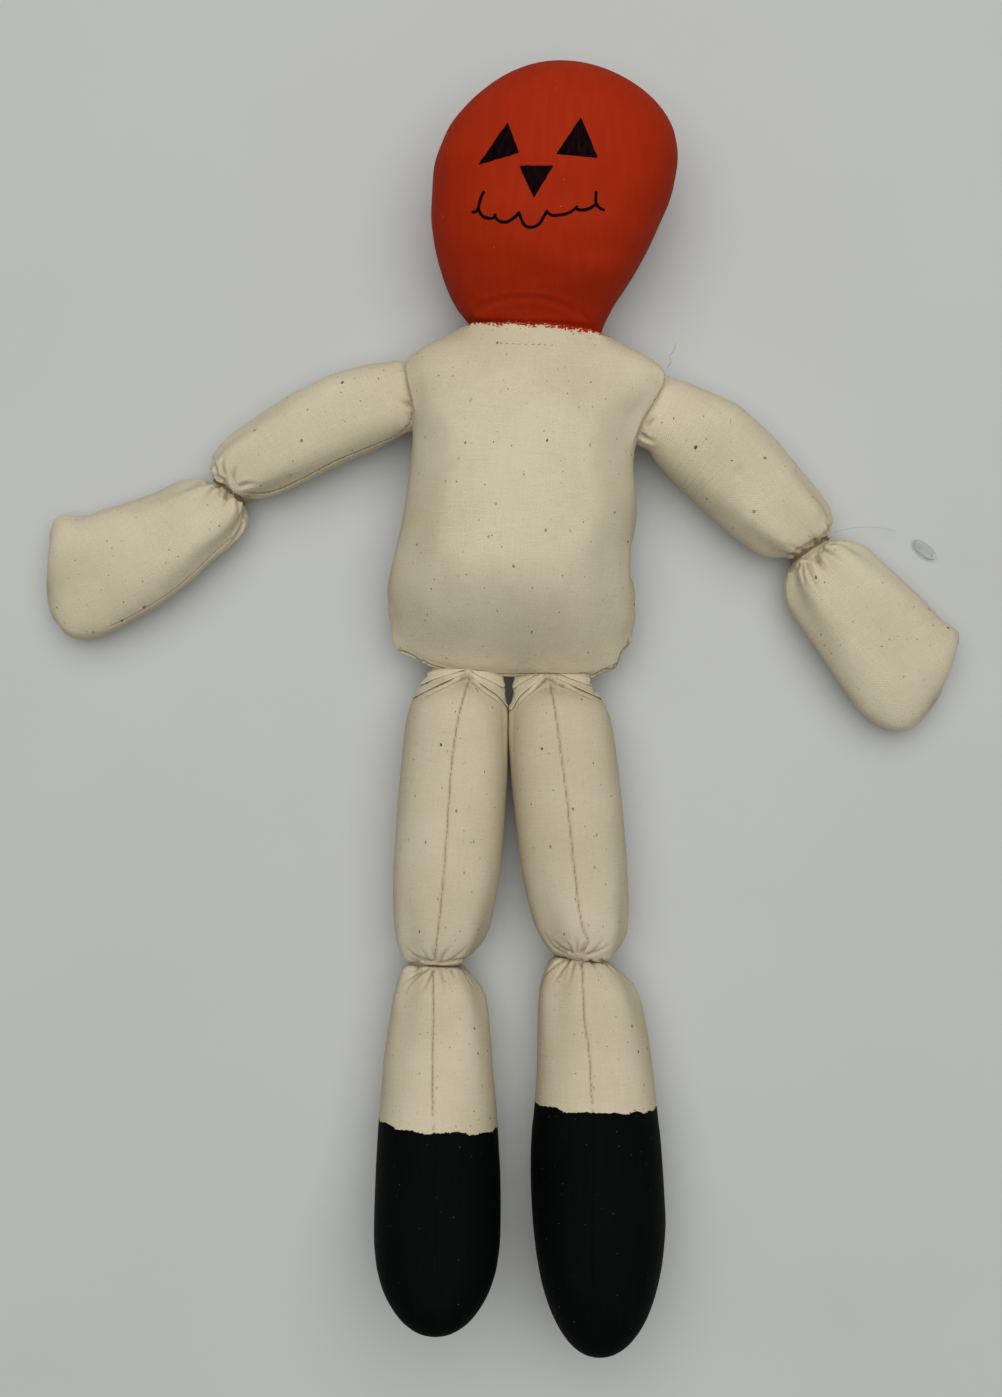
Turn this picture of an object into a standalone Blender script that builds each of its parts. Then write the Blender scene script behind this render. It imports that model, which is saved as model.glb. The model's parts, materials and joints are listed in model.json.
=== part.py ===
"""Stuffed cotton rag doll with a painted pumpkin face, lying on its back.

The doll lies as it rests on a table: +Z is up off the table and out of its front, +Y runs
to its head, and the origin is on the table under the middle of its torso. Left and right in
the names are the doll's own. The length unit is the metre, and sizes are written in
millimetres times MM.

The real doll is six skins of unbleached calico, each sewn, turned and stuffed hard: a
head, a torso, two arms and two legs. A wrap of thread pinches each arm at the elbow and each
leg at the knee, so that the limb is one tube with two stuffed lobes.
"""

import math
from dataclasses import dataclass

import bmesh
import bpy
from mathutils import Matrix, Vector
from mathutils.geometry import interpolate_bezier

MM = 0.001

# Clearances
SEAM_GAP = 0.3 * MM
OVERLAP_INTO_TORSO = 9.0 * MM
HEM_TUCK = 3.0 * MM

# Torso
TORSO_LENGTH = 123.8 * MM
TORSO_WIDTH = 90.0 * MM
TORSO_THICKNESS = 53.0 * MM
TORSO_HEADING = -93.9
NECK_ACROSS = 8.3 * MM
NECK_UP = 61.2 * MM
NECK_WIDTH = 47.0 * MM
NECK_TOP = 37.0 * MM
NECK_BACK = 8.0 * MM
HEM_BOW = 9.0 * MM

# Head
HEAD_LENGTH = 90.6 * MM
HEAD_WIDTH = 84.5 * MM
HEAD_THICKNESS = 66.0 * MM
HEAD_HEADING = 82.7
CROWN_REACH = 37.5 * MM
CHIN_CREASE_RISE = 10.5 * MM
CHIN_CREASE_SPREAD = 24.0 * MM
CHIN_CREASE_DEPTH = 1.6 * MM
CHIN_CREASE_WIDTH = 2.4 * MM

# Arms
ARMHOLE_DROP_RIGHT = 23.0 * MM
ARMHOLE_DROP_LEFT = 24.5 * MM
ELBOW_WRAP_HEIGHT = 11.0 * MM
HAND_TURN_SHARE = 0.55
THUMB_REACH = 3.5 * MM
THUMB_WIDTH = 5.0 * MM
RIGHT_UPPER_ARM_LENGTH = 74.2 * MM
RIGHT_UPPER_ARM_WIDTH = 30.5 * MM
RIGHT_UPPER_ARM_THICKNESS = 29.0 * MM
RIGHT_FOREARM_LENGTH = 72.6 * MM
RIGHT_FOREARM_WIDTH = 43.5 * MM
RIGHT_FOREARM_THICKNESS = 25.0 * MM
LEFT_UPPER_ARM_LENGTH = 75.7 * MM
LEFT_UPPER_ARM_WIDTH = 37.0 * MM
LEFT_UPPER_ARM_THICKNESS = 31.0 * MM
LEFT_FOREARM_LENGTH = 70.5 * MM
LEFT_FOREARM_WIDTH = 47.0 * MM
LEFT_FOREARM_THICKNESS = 26.0 * MM
HAND_END_REACH = 7.0 * MM
RIGHT_ELBOW_HALF_WIDTH = 6.2 * MM
RIGHT_ELBOW_HALF_HEIGHT = 5.2 * MM
LEFT_ELBOW_HALF_WIDTH = 7.2 * MM
LEFT_ELBOW_HALF_HEIGHT = 5.4 * MM

# Legs
HIP_SPREAD = 29.4 * MM
HIP_SHIFT = -1.6 * MM
KNEE_WRAP_HEIGHT = 16.0 * MM
HIP_FOLD_LENGTH = 11.0 * MM
HIP_FOLD_DEPTH = 6.0 * MM
HIP_FOLD_SOFTNESS = 0.22
HIP_FOLD_MARGIN = 0.15
RIGHT_THIGH_LENGTH = 104.0 * MM
RIGHT_THIGH_WIDTH = 39.5 * MM
RIGHT_THIGH_THICKNESS = 38.0 * MM
RIGHT_SHIN_LENGTH = 123.6 * MM
RIGHT_SHIN_WIDTH = 45.2 * MM
RIGHT_SHIN_THICKNESS = 42.0 * MM
LEFT_THIGH_LENGTH = 100.2 * MM
LEFT_THIGH_WIDTH = 38.5 * MM
LEFT_THIGH_THICKNESS = 38.0 * MM
LEFT_SHIN_LENGTH = 137.6 * MM
LEFT_SHIN_WIDTH = 47.0 * MM
LEFT_SHIN_THICKNESS = 43.0 * MM
RIGHT_TOE_REACH = 30.0 * MM
LEFT_TOE_REACH = 44.0 * MM
RIGHT_KNEE_HALF_WIDTH = 6.8 * MM
RIGHT_KNEE_HALF_HEIGHT = 6.2 * MM
LEFT_KNEE_HALF_WIDTH = 6.2 * MM
LEFT_KNEE_HALF_HEIGHT = 6.0 * MM

# Pinches at the wraps of thread
WRAP_HALF_LENGTH = 1.1 * MM
ELBOW_PINCH_REACH = 12.0 * MM
KNEE_PINCH_REACH = 9.5 * MM
PINCH_POWER = 1.9
PLEAT_DEPTH = 0.6
PLEAT_UNEVENNESS = 0.5
PLEAT_REACH = 12.0 * MM
PLEAT_RISE = 1.6 * MM
POINTS_PER_PLEAT = 4
TURN_REACH = 14.0 * MM
THREAD_RADIUS = 0.4 * MM
THREAD_TURNS = 2
THREAD_BED = 0.9

# Clear plastic tag fastener caught in the left elbow
FILAMENT_RADIUS = 0.25 * MM
PADDLE_LENGTH = 10.6 * MM
PADDLE_WIDTH = 4.4 * MM
PADDLE_THICKNESS = 0.9 * MM
PADDLE_HEIGHT = 0.3 * MM
PADDLE_HEADING = -39.6
PADDLE_ACROSS = 44.4 * MM
PADDLE_UP = 0.5 * MM
FILAMENT_ROOT_PULL = 7.0 * MM
FILAMENT_PADDLE_PULL = 12.0 * MM
FILAMENT_STEPS = 12
FILAMENT_SIDES = 6
PADDLE_SIDES = 16

# Face drawn with a marker, in units across and up from the middle of the nose's top edge
FACE_UNIT = 1.0 * MM
EYE_ON_DOLLS_RIGHT = ((-9.9, 15.4), (-20.5, 0.4), (-6.0, 4.6))
EYE_ON_DOLLS_LEFT = ((15.9, 17.2), (7.0, 4.1), (21.9, 2.7))
NOSE = ((-6.2, 0.0), (6.1, 0.0), (-0.8, -11.5))
MOUTH_STROKES = (
    ((-18.6, -9.4), (-20.5, -15.0), (-22.5, -16.5)),
    ((-20.5, -15.4), (-19.3, -17.7), (-15.0, -18.6), (-15.0, -17.3)),
    ((-14.3, -18.9), (-11.1, -20.0), (-7.9, -18.6), (-6.2, -16.8)),
    ((-5.8, -18.6), (-4.2, -21.1), (-1.9, -21.8), (0.9, -20.7), (3.4, -16.1)),
    ((5.1, -17.5), (9.4, -17.3), (13.1, -15.8), (14.3, -14.7)),
    ((15.4, -15.8), (18.2, -15.4), (20.7, -14.0)),
    ((21.1, -9.4), (21.1, -13.3), (23.9, -15.8)),
)
FACE_RISE = 54.0 * MM
FACE_SHIFT = 1.4 * MM
MARKER_WIDTH = 1.1 * MM

# Boots of black paint: how far below the knee wrap the paint begins
BOOT_EDGE_RIGHT = 54.9 * MM
BOOT_EDGE_LEFT = 51.0 * MM

# Points round each ring of a loft, and how square its cross-section is
TORSO_AROUND = 40
HEAD_AROUND = 32
ARM_AROUND = 24
LEG_AROUND = 28
STUFFED_SQUARENESS = 2.3
WRAP_STEPS = 16
THREAD_SIDES = 3
POLE_RADIUS = 0.001 * MM
SHARP_ANGLE = 50.0

# Steps from ring to ring of a loft: the first ones at its ends, and how they grow
STEP_AT_WRAP = 1.3 * MM
STEP_AT_HIP = 2.0 * MM
STEP_AT_ARMHOLE = 4.0 * MM
STEP_AT_TIP = 1.0 * MM
STEP_AT_NECK = 2.6 * MM
STEP_AT_HEM = 2.6 * MM
STEP_GROWTH = 1.45
LONGEST_STEP = 14.0 * MM


@dataclass(frozen=True)
class Station:
    """One cross-section of a stuffed lobe, with sides as seen along its run.

    along is a share of the lobe's length, left and right are shares of its width, and
    front and back are the heights of its two faces as shares of its thickness.
    """

    along: float
    left: float
    right: float
    front: float
    back: float


@dataclass(frozen=True)
class Wrap:
    """The neck that a wrap of thread pinches into a cloth tube."""

    half_width: float
    half_height: float
    height: float
    heading: float
    reach: float

    def growth(self, distance):
        """How far a lobe has swelled back at a distance from the wrap's edge, 0 to 1."""
        share = min(max(distance / self.reach, 0.0), 1.0)
        return (1.0 - (1.0 - share) ** PINCH_POWER) ** (1.0 / PINCH_POWER)


@dataclass(frozen=True)
class Lobe:
    """One stuffed stretch of cloth: its size, the way it runs and its outline."""

    length: float
    width: float
    thickness: float
    heading: float
    stations: tuple
    end_reach: float = 0.0
    end_bluntness: float = 1.0
    end_heading: float = None
    thumb_at: float = None
    thumb_side: int = 0


TORSO = Lobe(
    TORSO_LENGTH, TORSO_WIDTH, TORSO_THICKNESS, TORSO_HEADING,
    (
        Station(0.0, 0.262, 0.262, 0.70, 0.15),
        Station(0.03, 0.325, 0.315, 0.73, 0.11),
        Station(0.06, 0.435, 0.39, 0.75, 0.07),
        Station(0.09, 0.525, 0.455, 0.78, 0.05),
        Station(0.12, 0.535, 0.515, 0.81, 0.02),
        Station(0.20, 0.49, 0.485, 0.89, -0.01),
        Station(0.30, 0.425, 0.455, 0.94, -0.02),
        Station(0.50, 0.45, 0.465, 0.98, -0.025),
        Station(0.60, 0.435, 0.475, 1.0, -0.025),
        Station(0.70, 0.44, 0.495, 1.0, -0.025),
        Station(0.80, 0.475, 0.52, 0.97, -0.02),
        Station(0.88, 0.465, 0.50, 0.85, 0.0),
        Station(0.95, 0.45, 0.495, 0.64, 0.04),
        Station(1.0, 0.43, 0.48, 0.42, 0.12),
    ),
)
HEAD = Lobe(
    HEAD_LENGTH, HEAD_WIDTH, HEAD_THICKNESS, HEAD_HEADING,
    (
        Station(0.05, 0.335, 0.287, 0.575, 0.11),
        Station(0.10, 0.375, 0.305, 0.64, 0.08),
        Station(0.20, 0.436, 0.36, 0.82, 0.03),
        Station(0.30, 0.475, 0.408, 0.92, 0.0),
        Station(0.50, 0.502, 0.483, 1.0, -0.025),
        Station(0.60, 0.498, 0.494, 1.0, -0.025),
        Station(0.80, 0.45, 0.54, 0.99, -0.02),
        Station(1.0, 0.39, 0.55, 0.97, 0.0),
    ),
    end_reach=CROWN_REACH,
    end_bluntness=0.85,
)
RIGHT_UPPER_ARM = Lobe(
    RIGHT_UPPER_ARM_LENGTH, RIGHT_UPPER_ARM_WIDTH, RIGHT_UPPER_ARM_THICKNESS, -150.3,
    (
        Station(-0.12, 0.24, 0.24, 0.84, 0.38),
        Station(0.0, 0.325, 0.325, 0.92, 0.24),
        Station(0.1, 0.44, 0.44, 1.02, 0.1),
        Station(0.2, 0.47, 0.515, 1.05, 0.0),
        Station(0.3, 0.443, 0.574, 1.03, -0.03),
        Station(0.5, 0.39, 0.607, 1.0, -0.035),
        Station(0.7, 0.37, 0.59, 0.98, -0.035),
        Station(1.0, 0.315, 0.545, 0.92, -0.03),
    ),
)
RIGHT_FOREARM = Lobe(
    RIGHT_FOREARM_LENGTH, RIGHT_FOREARM_WIDTH, RIGHT_FOREARM_THICKNESS, -155.2,
    (
        Station(0.0, 0.453, 0.256, 0.98, -0.03),
        Station(0.2, 0.486, 0.249, 1.02, -0.035),
        Station(0.4, 0.59, 0.247, 1.02, -0.04),
        Station(0.6, 0.651, 0.293, 0.97, -0.04),
        Station(0.8, 0.681, 0.33, 0.86, -0.03),
        Station(0.9, 0.60, 0.36, 0.78, 0.0),
        Station(1.0, 0.46, 0.40, 0.70, 0.08),
    ),
    end_reach=HAND_END_REACH,
    end_heading=-178.0,
    thumb_at=0.9,
    thumb_side=-1,
)
LEFT_UPPER_ARM = Lobe(
    LEFT_UPPER_ARM_LENGTH, LEFT_UPPER_ARM_WIDTH, LEFT_UPPER_ARM_THICKNESS, -41.6,
    (
        Station(-0.12, 0.25, 0.25, 0.80, 0.36),
        Station(0.0, 0.354, 0.325, 0.88, 0.22),
        Station(0.1, 0.42, 0.338, 0.98, 0.1),
        Station(0.2, 0.532, 0.403, 1.02, 0.0),
        Station(0.4, 0.581, 0.403, 1.0, -0.035),
        Station(0.6, 0.546, 0.416, 0.98, -0.035),
        Station(0.8, 0.492, 0.392, 0.94, -0.035),
        Station(1.0, 0.468, 0.351, 0.88, -0.03),
    ),
)
LEFT_FOREARM = Lobe(
    LEFT_FOREARM_LENGTH, LEFT_FOREARM_WIDTH, LEFT_FOREARM_THICKNESS, -49.0,
    (
        Station(0.0, 0.315, 0.402, 0.98, -0.03),
        Station(0.2, 0.348, 0.443, 1.02, -0.035),
        Station(0.4, 0.372, 0.478, 1.02, -0.04),
        Station(0.6, 0.405, 0.517, 0.97, -0.04),
        Station(0.7, 0.41, 0.548, 0.92, -0.04),
        Station(0.8, 0.41, 0.533, 0.86, -0.02),
        Station(0.9, 0.39, 0.463, 0.78, 0.0),
        Station(1.0, 0.33, 0.40, 0.70, 0.08),
    ),
    end_reach=HAND_END_REACH,
    end_heading=-33.0,
    thumb_at=0.88,
    thumb_side=1,
)
RIGHT_THIGH = Lobe(
    RIGHT_THIGH_LENGTH, RIGHT_THIGH_WIDTH, RIGHT_THIGH_THICKNESS, -96.4,
    (
        Station(-0.03, 0.33, 0.32, 0.50, 0.26),
        Station(0.0, 0.344, 0.334, 0.54, 0.24),
        Station(0.05, 0.36, 0.372, 0.78, 0.12),
        Station(0.1, 0.385, 0.45, 0.92, 0.03),
        Station(0.2, 0.415, 0.491, 1.0, -0.02),
        Station(0.5, 0.496, 0.476, 1.01, -0.03),
        Station(0.7, 0.509, 0.458, 1.0, -0.03),
        Station(0.85, 0.489, 0.428, 0.98, -0.025),
        Station(1.0, 0.456, 0.405, 0.94, -0.02),
    ),
)
RIGHT_SHIN = Lobe(
    RIGHT_SHIN_LENGTH, RIGHT_SHIN_WIDTH, RIGHT_SHIN_THICKNESS, -89.3,
    (
        Station(0.0, 0.402, 0.337, 0.86, -0.02),
        Station(0.12, 0.433, 0.354, 0.88, -0.025),
        Station(0.3, 0.457, 0.411, 0.91, -0.025),
        Station(0.5, 0.496, 0.454, 1.0, -0.03),
        Station(0.6, 0.505, 0.47, 1.12, 0.0),
        Station(0.7, 0.509, 0.48, 1.25, 0.14),
        Station(0.85, 0.497, 0.473, 1.45, 0.44),
        Station(1.0, 0.487, 0.467, 1.56, 0.74),
    ),
    end_reach=RIGHT_TOE_REACH,
    end_bluntness=0.6,
)
LEFT_THIGH = Lobe(
    LEFT_THIGH_LENGTH, LEFT_THIGH_WIDTH, LEFT_THIGH_THICKNESS, -83.3,
    (
        Station(-0.03, 0.33, 0.33, 0.50, 0.26),
        Station(0.0, 0.348, 0.345, 0.54, 0.24),
        Station(0.05, 0.38, 0.35, 0.78, 0.12),
        Station(0.1, 0.48, 0.375, 0.92, 0.03),
        Station(0.2, 0.53, 0.405, 1.0, -0.02),
        Station(0.5, 0.538, 0.452, 1.01, -0.03),
        Station(0.7, 0.535, 0.455, 1.0, -0.03),
        Station(0.85, 0.51, 0.431, 0.98, -0.025),
        Station(1.0, 0.48, 0.403, 0.94, -0.02),
    ),
)
LEFT_SHIN = Lobe(
    LEFT_SHIN_LENGTH, LEFT_SHIN_WIDTH, LEFT_SHIN_THICKNESS, -87.7,
    (
        Station(0.0, 0.40, 0.337, 0.86, -0.02),
        Station(0.12, 0.453, 0.356, 0.88, -0.025),
        Station(0.3, 0.51, 0.37, 0.91, -0.025),
        Station(0.5, 0.552, 0.446, 1.0, -0.03),
        Station(0.6, 0.554, 0.448, 1.08, -0.02),
        Station(0.7, 0.547, 0.446, 1.15, 0.05),
        Station(0.85, 0.53, 0.44, 1.2, 0.22),
        Station(1.0, 0.53, 0.44, 1.18, 0.40),
    ),
    end_reach=LEFT_TOE_REACH,
    end_bluntness=0.6,
)
RIGHT_ELBOW = Wrap(
    RIGHT_ELBOW_HALF_WIDTH, RIGHT_ELBOW_HALF_HEIGHT, ELBOW_WRAP_HEIGHT, -126.7, ELBOW_PINCH_REACH
)
LEFT_ELBOW = Wrap(
    LEFT_ELBOW_HALF_WIDTH, LEFT_ELBOW_HALF_HEIGHT, ELBOW_WRAP_HEIGHT, -55.8, ELBOW_PINCH_REACH
)
RIGHT_KNEE = Wrap(
    RIGHT_KNEE_HALF_WIDTH, RIGHT_KNEE_HALF_HEIGHT, KNEE_WRAP_HEIGHT, -92.8, KNEE_PINCH_REACH
)
LEFT_KNEE = Wrap(
    LEFT_KNEE_HALF_WIDTH, LEFT_KNEE_HALF_HEIGHT, KNEE_WRAP_HEIGHT, -97.1, KNEE_PINCH_REACH
)


def clear_scene():
    """Remove what a new file holds."""
    for thing in list(bpy.data.objects):
        bpy.data.objects.remove(thing, do_unlink=True)


def paint(name, colour, roughness):
    """Make a Principled material from an sRGB hex colour."""
    channels = [int(colour[i:i + 2], 16) / 255 for i in (0, 2, 4)]
    linear = [c / 12.92 if c <= 0.04045 else ((c + 0.055) / 1.055) ** 2.4 for c in channels]
    material = bpy.data.materials.new(name)
    material.use_nodes = True
    shader = material.node_tree.nodes["Principled BSDF"]
    shader.inputs["Base Color"].default_value = (*linear, 1.0)
    shader.inputs["Roughness"].default_value = roughness
    shader.inputs["Metallic"].default_value = 0.0
    material.diffuse_color = (*linear, 1.0)
    return material


def compass(heading):
    """Unit vector in plan along a heading in degrees, anticlockwise from +X."""
    return Vector((math.cos(math.radians(heading)), math.sin(math.radians(heading)), 0.0))


def ease(share):
    """Smooth step from 0 to 1."""
    share = min(max(share, 0.0), 1.0)
    return share * share * (3.0 - 2.0 * share)


def curve_value(knots, values, at):
    """Read a smooth cubic through the values at a place between the first and last knot."""
    at = min(max(at, knots[0]), knots[-1])
    slopes = []
    for i in range(len(knots)):
        before, after = max(i - 1, 0), min(i + 1, len(knots) - 1)
        slopes.append((values[after] - values[before]) / (knots[after] - knots[before]))
    for i in range(len(knots) - 1):
        if at <= knots[i + 1]:
            span = knots[i + 1] - knots[i]
            t = (at - knots[i]) / span
            return (
                (2 * t ** 3 - 3 * t ** 2 + 1) * values[i]
                + (t ** 3 - 2 * t ** 2 + t) * span * slopes[i]
                + (3 * t ** 2 - 2 * t ** 3) * values[i + 1]
                + (t ** 3 - t ** 2) * span * slopes[i + 1]
            )
    return values[-1]


def round_end(share):
    """Width left at a share of the way into a round end, from 1 at 0 to 0 at 1."""
    return math.sqrt(max(1.0 - share * share, 0.0))


@dataclass
class Profile:
    """Sides and heights of one ring, in metres, before its points are placed."""

    left: float
    right: float
    front: float
    back: float
    squareness: float = STUFFED_SQUARENESS

    def shrink(self, share, bluntness):
        """Draw the ring in towards its middle line, and less in height than in width."""
        middle = (self.front + self.back) / 2
        self.left *= share
        self.right *= share
        self.front = middle + (self.front - middle) * share ** bluntness
        self.back = middle + (self.back - middle) * share ** bluntness

    def towards(self, wrap, growth):
        """Blend from the neck under a wrap, at growth 0, to the full lobe, at growth 1."""
        self.left = wrap.half_width + (self.left - wrap.half_width) * growth
        self.right = wrap.half_width + (self.right - wrap.half_width) * growth
        top, bottom = wrap.height + wrap.half_height, wrap.height - wrap.half_height
        self.front = top + (self.front - top) * growth
        self.back = bottom + (self.back - bottom) * growth
        self.squareness = 2.0 + (self.squareness - 2.0) * growth

    def point(self, angle, pleat=1.0):
        """Across and height of the ring's point at an angle, with +Z at a quarter turn."""
        c, s = math.cos(angle), math.sin(angle)
        power = 2.0 / self.squareness
        half_width, half_height = (self.left + self.right) / 2, (self.front - self.back) / 2
        across = math.copysign(abs(c) ** power, c) * half_width * pleat
        height = math.copysign(abs(s) ** power, s) * half_height * pleat
        return across + (self.left - self.right) / 2, height + (self.front + self.back) / 2


def lobe_profile(lobe, distance):
    """Profile of a lobe's outline at a distance along it, before any pinch."""
    knots = [station.along for station in lobe.stations]
    at = distance / lobe.length
    profile = Profile(
        curve_value(knots, [s.left for s in lobe.stations], at) * lobe.width,
        curve_value(knots, [s.right for s in lobe.stations], at) * lobe.width,
        curve_value(knots, [s.front for s in lobe.stations], at) * lobe.thickness,
        curve_value(knots, [s.back for s in lobe.stations], at) * lobe.thickness,
    )
    if lobe.thumb_side:
        rise = THUMB_REACH * math.exp(-(((at - lobe.thumb_at) * lobe.length / THUMB_WIDTH) ** 2))
        if lobe.thumb_side > 0:
            profile.left += rise
        else:
            profile.right += rise
    return profile


def middle_height(lobe):
    """Height of the middle of a lobe's last cross-section."""
    last = lobe.stations[-1]
    return (last.front + last.back) / 2 * lobe.thickness


def graded(start, end, first_step, last_step):
    """Places from start to end whose steps are small near both ends and grow between them."""
    ahead, behind = [start], [end]
    while behind[-1] - ahead[-1] > max(first_step, last_step) * STEP_GROWTH:
        if first_step <= last_step:
            ahead.append(ahead[-1] + first_step)
            first_step = min(first_step * STEP_GROWTH, LONGEST_STEP)
        else:
            behind.append(behind[-1] - last_step)
            last_step = min(last_step * STEP_GROWTH, LONGEST_STEP)
    return ahead + behind[::-1]


class Skin:
    """A closed cloth skin, drawn out ring by ring from its first ring to its last."""

    def __init__(self, name, around):
        self.name = name
        self.around = around
        self.mesh = bmesh.new()
        self.ring = []
        self.angles = []

    def add_ring(self, centre, heading, profile, pleat=None, shift=None):
        """Extrude the open end of the skin to a new ring square to a heading."""
        if self.ring:
            edges = [self.mesh.edges.get(pair) for pair in self.pairs()]
            drawn = bmesh.ops.extrude_edge_only(self.mesh, edges=edges)["geom"]
            fresh = {v for v in drawn if isinstance(v, bmesh.types.BMVert)}
            self.ring = [
                next(e.other_vert(v) for e in v.link_edges if e.other_vert(v) in fresh)
                for v in self.ring
            ]
        else:
            self.ring = bmesh.ops.create_circle(
                self.mesh, cap_ends=False, segments=self.around, radius=1.0
            )["verts"]
            self.angles = [math.atan2(v.co.y, v.co.x) for v in self.ring]
            self.ring = [v for _, v in sorted(zip(self.angles, self.ring), key=lambda p: p[0])]
            self.angles.sort()
        side = compass(heading + 90.0)
        ahead = compass(heading)
        for vertex, angle in zip(self.ring, self.angles):
            across, height = profile.point(angle, pleat(angle) if pleat else 1.0)
            place = centre + side * across
            if shift:
                along, drop = shift(across, height, profile)
                place = place + ahead * along
                height -= drop
            vertex.co = (place.x, place.y, max(height, 0.0))

    def pairs(self):
        """Neighbouring points round the open end."""
        return list(zip(self.ring, self.ring[1:] + self.ring[:1]))

    def close(self):
        """Fill the open end with a strip of faces from its front points to its back ones."""
        middle = [i for i in range(self.around) if abs(math.sin(self.angles[i])) < 1e-4]
        last = len(self.ring)
        first = min(middle, key=lambda i: abs(self.angles[i]))
        previous = (self.ring[first],)
        for step in range(1, last // 2):
            pair = (self.ring[(first + step) % last], self.ring[(first - step) % last])
            bmesh.ops.contextual_create(self.mesh, geom=[*previous, *pair])
            previous = pair
        far_point = self.ring[(first + last // 2) % last]
        bmesh.ops.contextual_create(self.mesh, geom=[*previous, far_point])

    def close_to_pole(self, place, heading, height):
        """Draw the open end together to one point at a height."""
        self.add_ring(place, heading, Profile(POLE_RADIUS, POLE_RADIUS, height, height))
        bmesh.ops.pointmerge(self.mesh, verts=self.ring, merge_co=(place.x, place.y, height))

    def colour_beyond(self, place, heading, slot):
        """Cut the skin along a plane and give what lies beyond it another material slot."""
        geometry = self.mesh.verts[:] + self.mesh.edges[:] + self.mesh.faces[:]
        ahead = compass(heading)
        bmesh.ops.bisect_plane(self.mesh, geom=geometry, dist=1e-7, plane_co=place, plane_no=ahead)
        for face in self.mesh.faces:
            if (face.calc_center_median() - place).dot(ahead) > 0.0:
                face.material_index = slot

    def finish(self, materials):
        """Turn the skin into an object."""
        bmesh.ops.recalc_face_normals(self.mesh, faces=self.mesh.faces[:])
        return make_object(self.name, self.mesh, materials)


def make_object(name, mesh, materials):
    """Link a finished bmesh as an object with smooth shading and its materials."""
    data = bpy.data.meshes.new(name)
    mesh.to_mesh(data)
    mesh.free()
    data.shade_smooth()
    data.set_sharp_from_angle(angle=math.radians(SHARP_ANGLE))
    for material in materials:
        data.materials.append(material)
    thing = bpy.data.objects.new(name, data)
    bpy.context.collection.objects.link(thing)
    return thing


def trim_against(piece, neighbour):
    """Cut a piece back from a neighbour's surface, with the seam gap between them."""
    guide = neighbour.copy()
    guide.data = neighbour.data.copy()
    guide.name = piece.name + "_trim_guide"
    bpy.context.collection.objects.link(guide)
    swell = guide.modifiers.new("clearance", "DISPLACE")
    swell.strength = SEAM_GAP
    swell.mid_level = 0.0
    guide.hide_render = True
    guide.display_type = "WIRE"
    cut = piece.modifiers.new("seam", "BOOLEAN")
    cut.operation = "DIFFERENCE"
    cut.solver = "EXACT"
    cut.object = guide


def neck_place():
    """Point in plan in the middle of the neck opening."""
    return Vector((NECK_ACROSS, NECK_UP, 0.0))


def torso_place(distance):
    """Point in plan on the torso's middle line, at a distance below the neck."""
    return neck_place() + compass(TORSO_HEADING) * distance


def torso_side(distance, side):
    """Point in plan on the torso's side edge, side +1 for the doll's left and -1 for its right."""
    profile = lobe_profile(TORSO, distance)
    reach = profile.left if side > 0 else profile.right
    return torso_place(distance) + compass(TORSO_HEADING + 90.0) * reach * side


def neck_profile():
    """The round opening where the head's neck is sewn into the torso."""
    return Profile(NECK_WIDTH / 2, NECK_WIDTH / 2, NECK_TOP, NECK_BACK, 2.0)


def build_torso(calico):
    """Pillow of a torso, from the neck opening down to the folded hem."""
    skin = Skin("torso", TORSO_AROUND)
    skin.add_ring(neck_place(), TORSO_HEADING, neck_profile())
    skin.close()
    for distance in graded(0.0, TORSO_LENGTH, STEP_AT_NECK, STEP_AT_HEM)[1:]:
        profile = lobe_profile(TORSO, distance)
        bow = HEM_BOW * ease(distance / TORSO_LENGTH * 2.0 - 1.0)

        def lift(across, height, ring):
            edge = abs(across) / max(ring.left, ring.right)
            return -bow * edge ** 4, 0.0

        skin.add_ring(torso_place(distance), TORSO_HEADING, profile, shift=lift)
    skin.close()
    return skin.finish([calico])


def head_place(distance):
    """Point in plan on the head's middle line, at a distance above the neck opening."""
    return neck_place() - compass(TORSO_HEADING) * SEAM_GAP + compass(HEAD_HEADING) * distance


def build_head(orange, ink):
    """Balloon of a head on its neck, with a crease under the chin and a drawn face."""
    skin = Skin("head", HEAD_AROUND)
    neck_heading = TORSO_HEADING + 180.0
    skin.add_ring(head_place(0.0), neck_heading, neck_profile())
    skin.close()
    for distance in graded(0.0, HEAD_LENGTH, STEP_AT_NECK, STEP_AT_TIP)[1:-1]:
        growth = ease(distance / (HEAD_LENGTH * HEAD.stations[0].along))
        profile = lobe_profile(HEAD, distance)
        neck = neck_profile()
        for side in ("left", "right", "front", "back"):
            blended = getattr(neck, side) * (1.0 - growth) + getattr(profile, side) * growth
            setattr(profile, side, blended)
        into_crown = (distance - HEAD_LENGTH + CROWN_REACH) / CROWN_REACH
        profile.shrink(round_end(max(into_crown, 0.0)), HEAD.end_bluntness)
        turn = ease(distance / CHIN_CREASE_SPREAD)
        heading = neck_heading + (HEAD_HEADING - neck_heading) * turn

        def crease(across, height, ring, distance=distance):
            middle = (ring.left - ring.right) / 2
            bow = CHIN_CREASE_RISE * (1.0 - ((across - middle) / CHIN_CREASE_SPREAD) ** 2)
            off = (distance - bow) / CHIN_CREASE_WIDTH
            front = ease((height - (ring.front + ring.back) / 2) / (ring.front / 3))
            return 0.0, CHIN_CREASE_DEPTH * math.exp(-off * off) * front

        skin.add_ring(head_place(distance), heading, profile, shift=crease)
    skin.close_to_pole(head_place(HEAD_LENGTH), HEAD_HEADING, middle_height(HEAD))
    draw_face(skin.mesh)
    return skin.finish([orange, ink])


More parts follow.
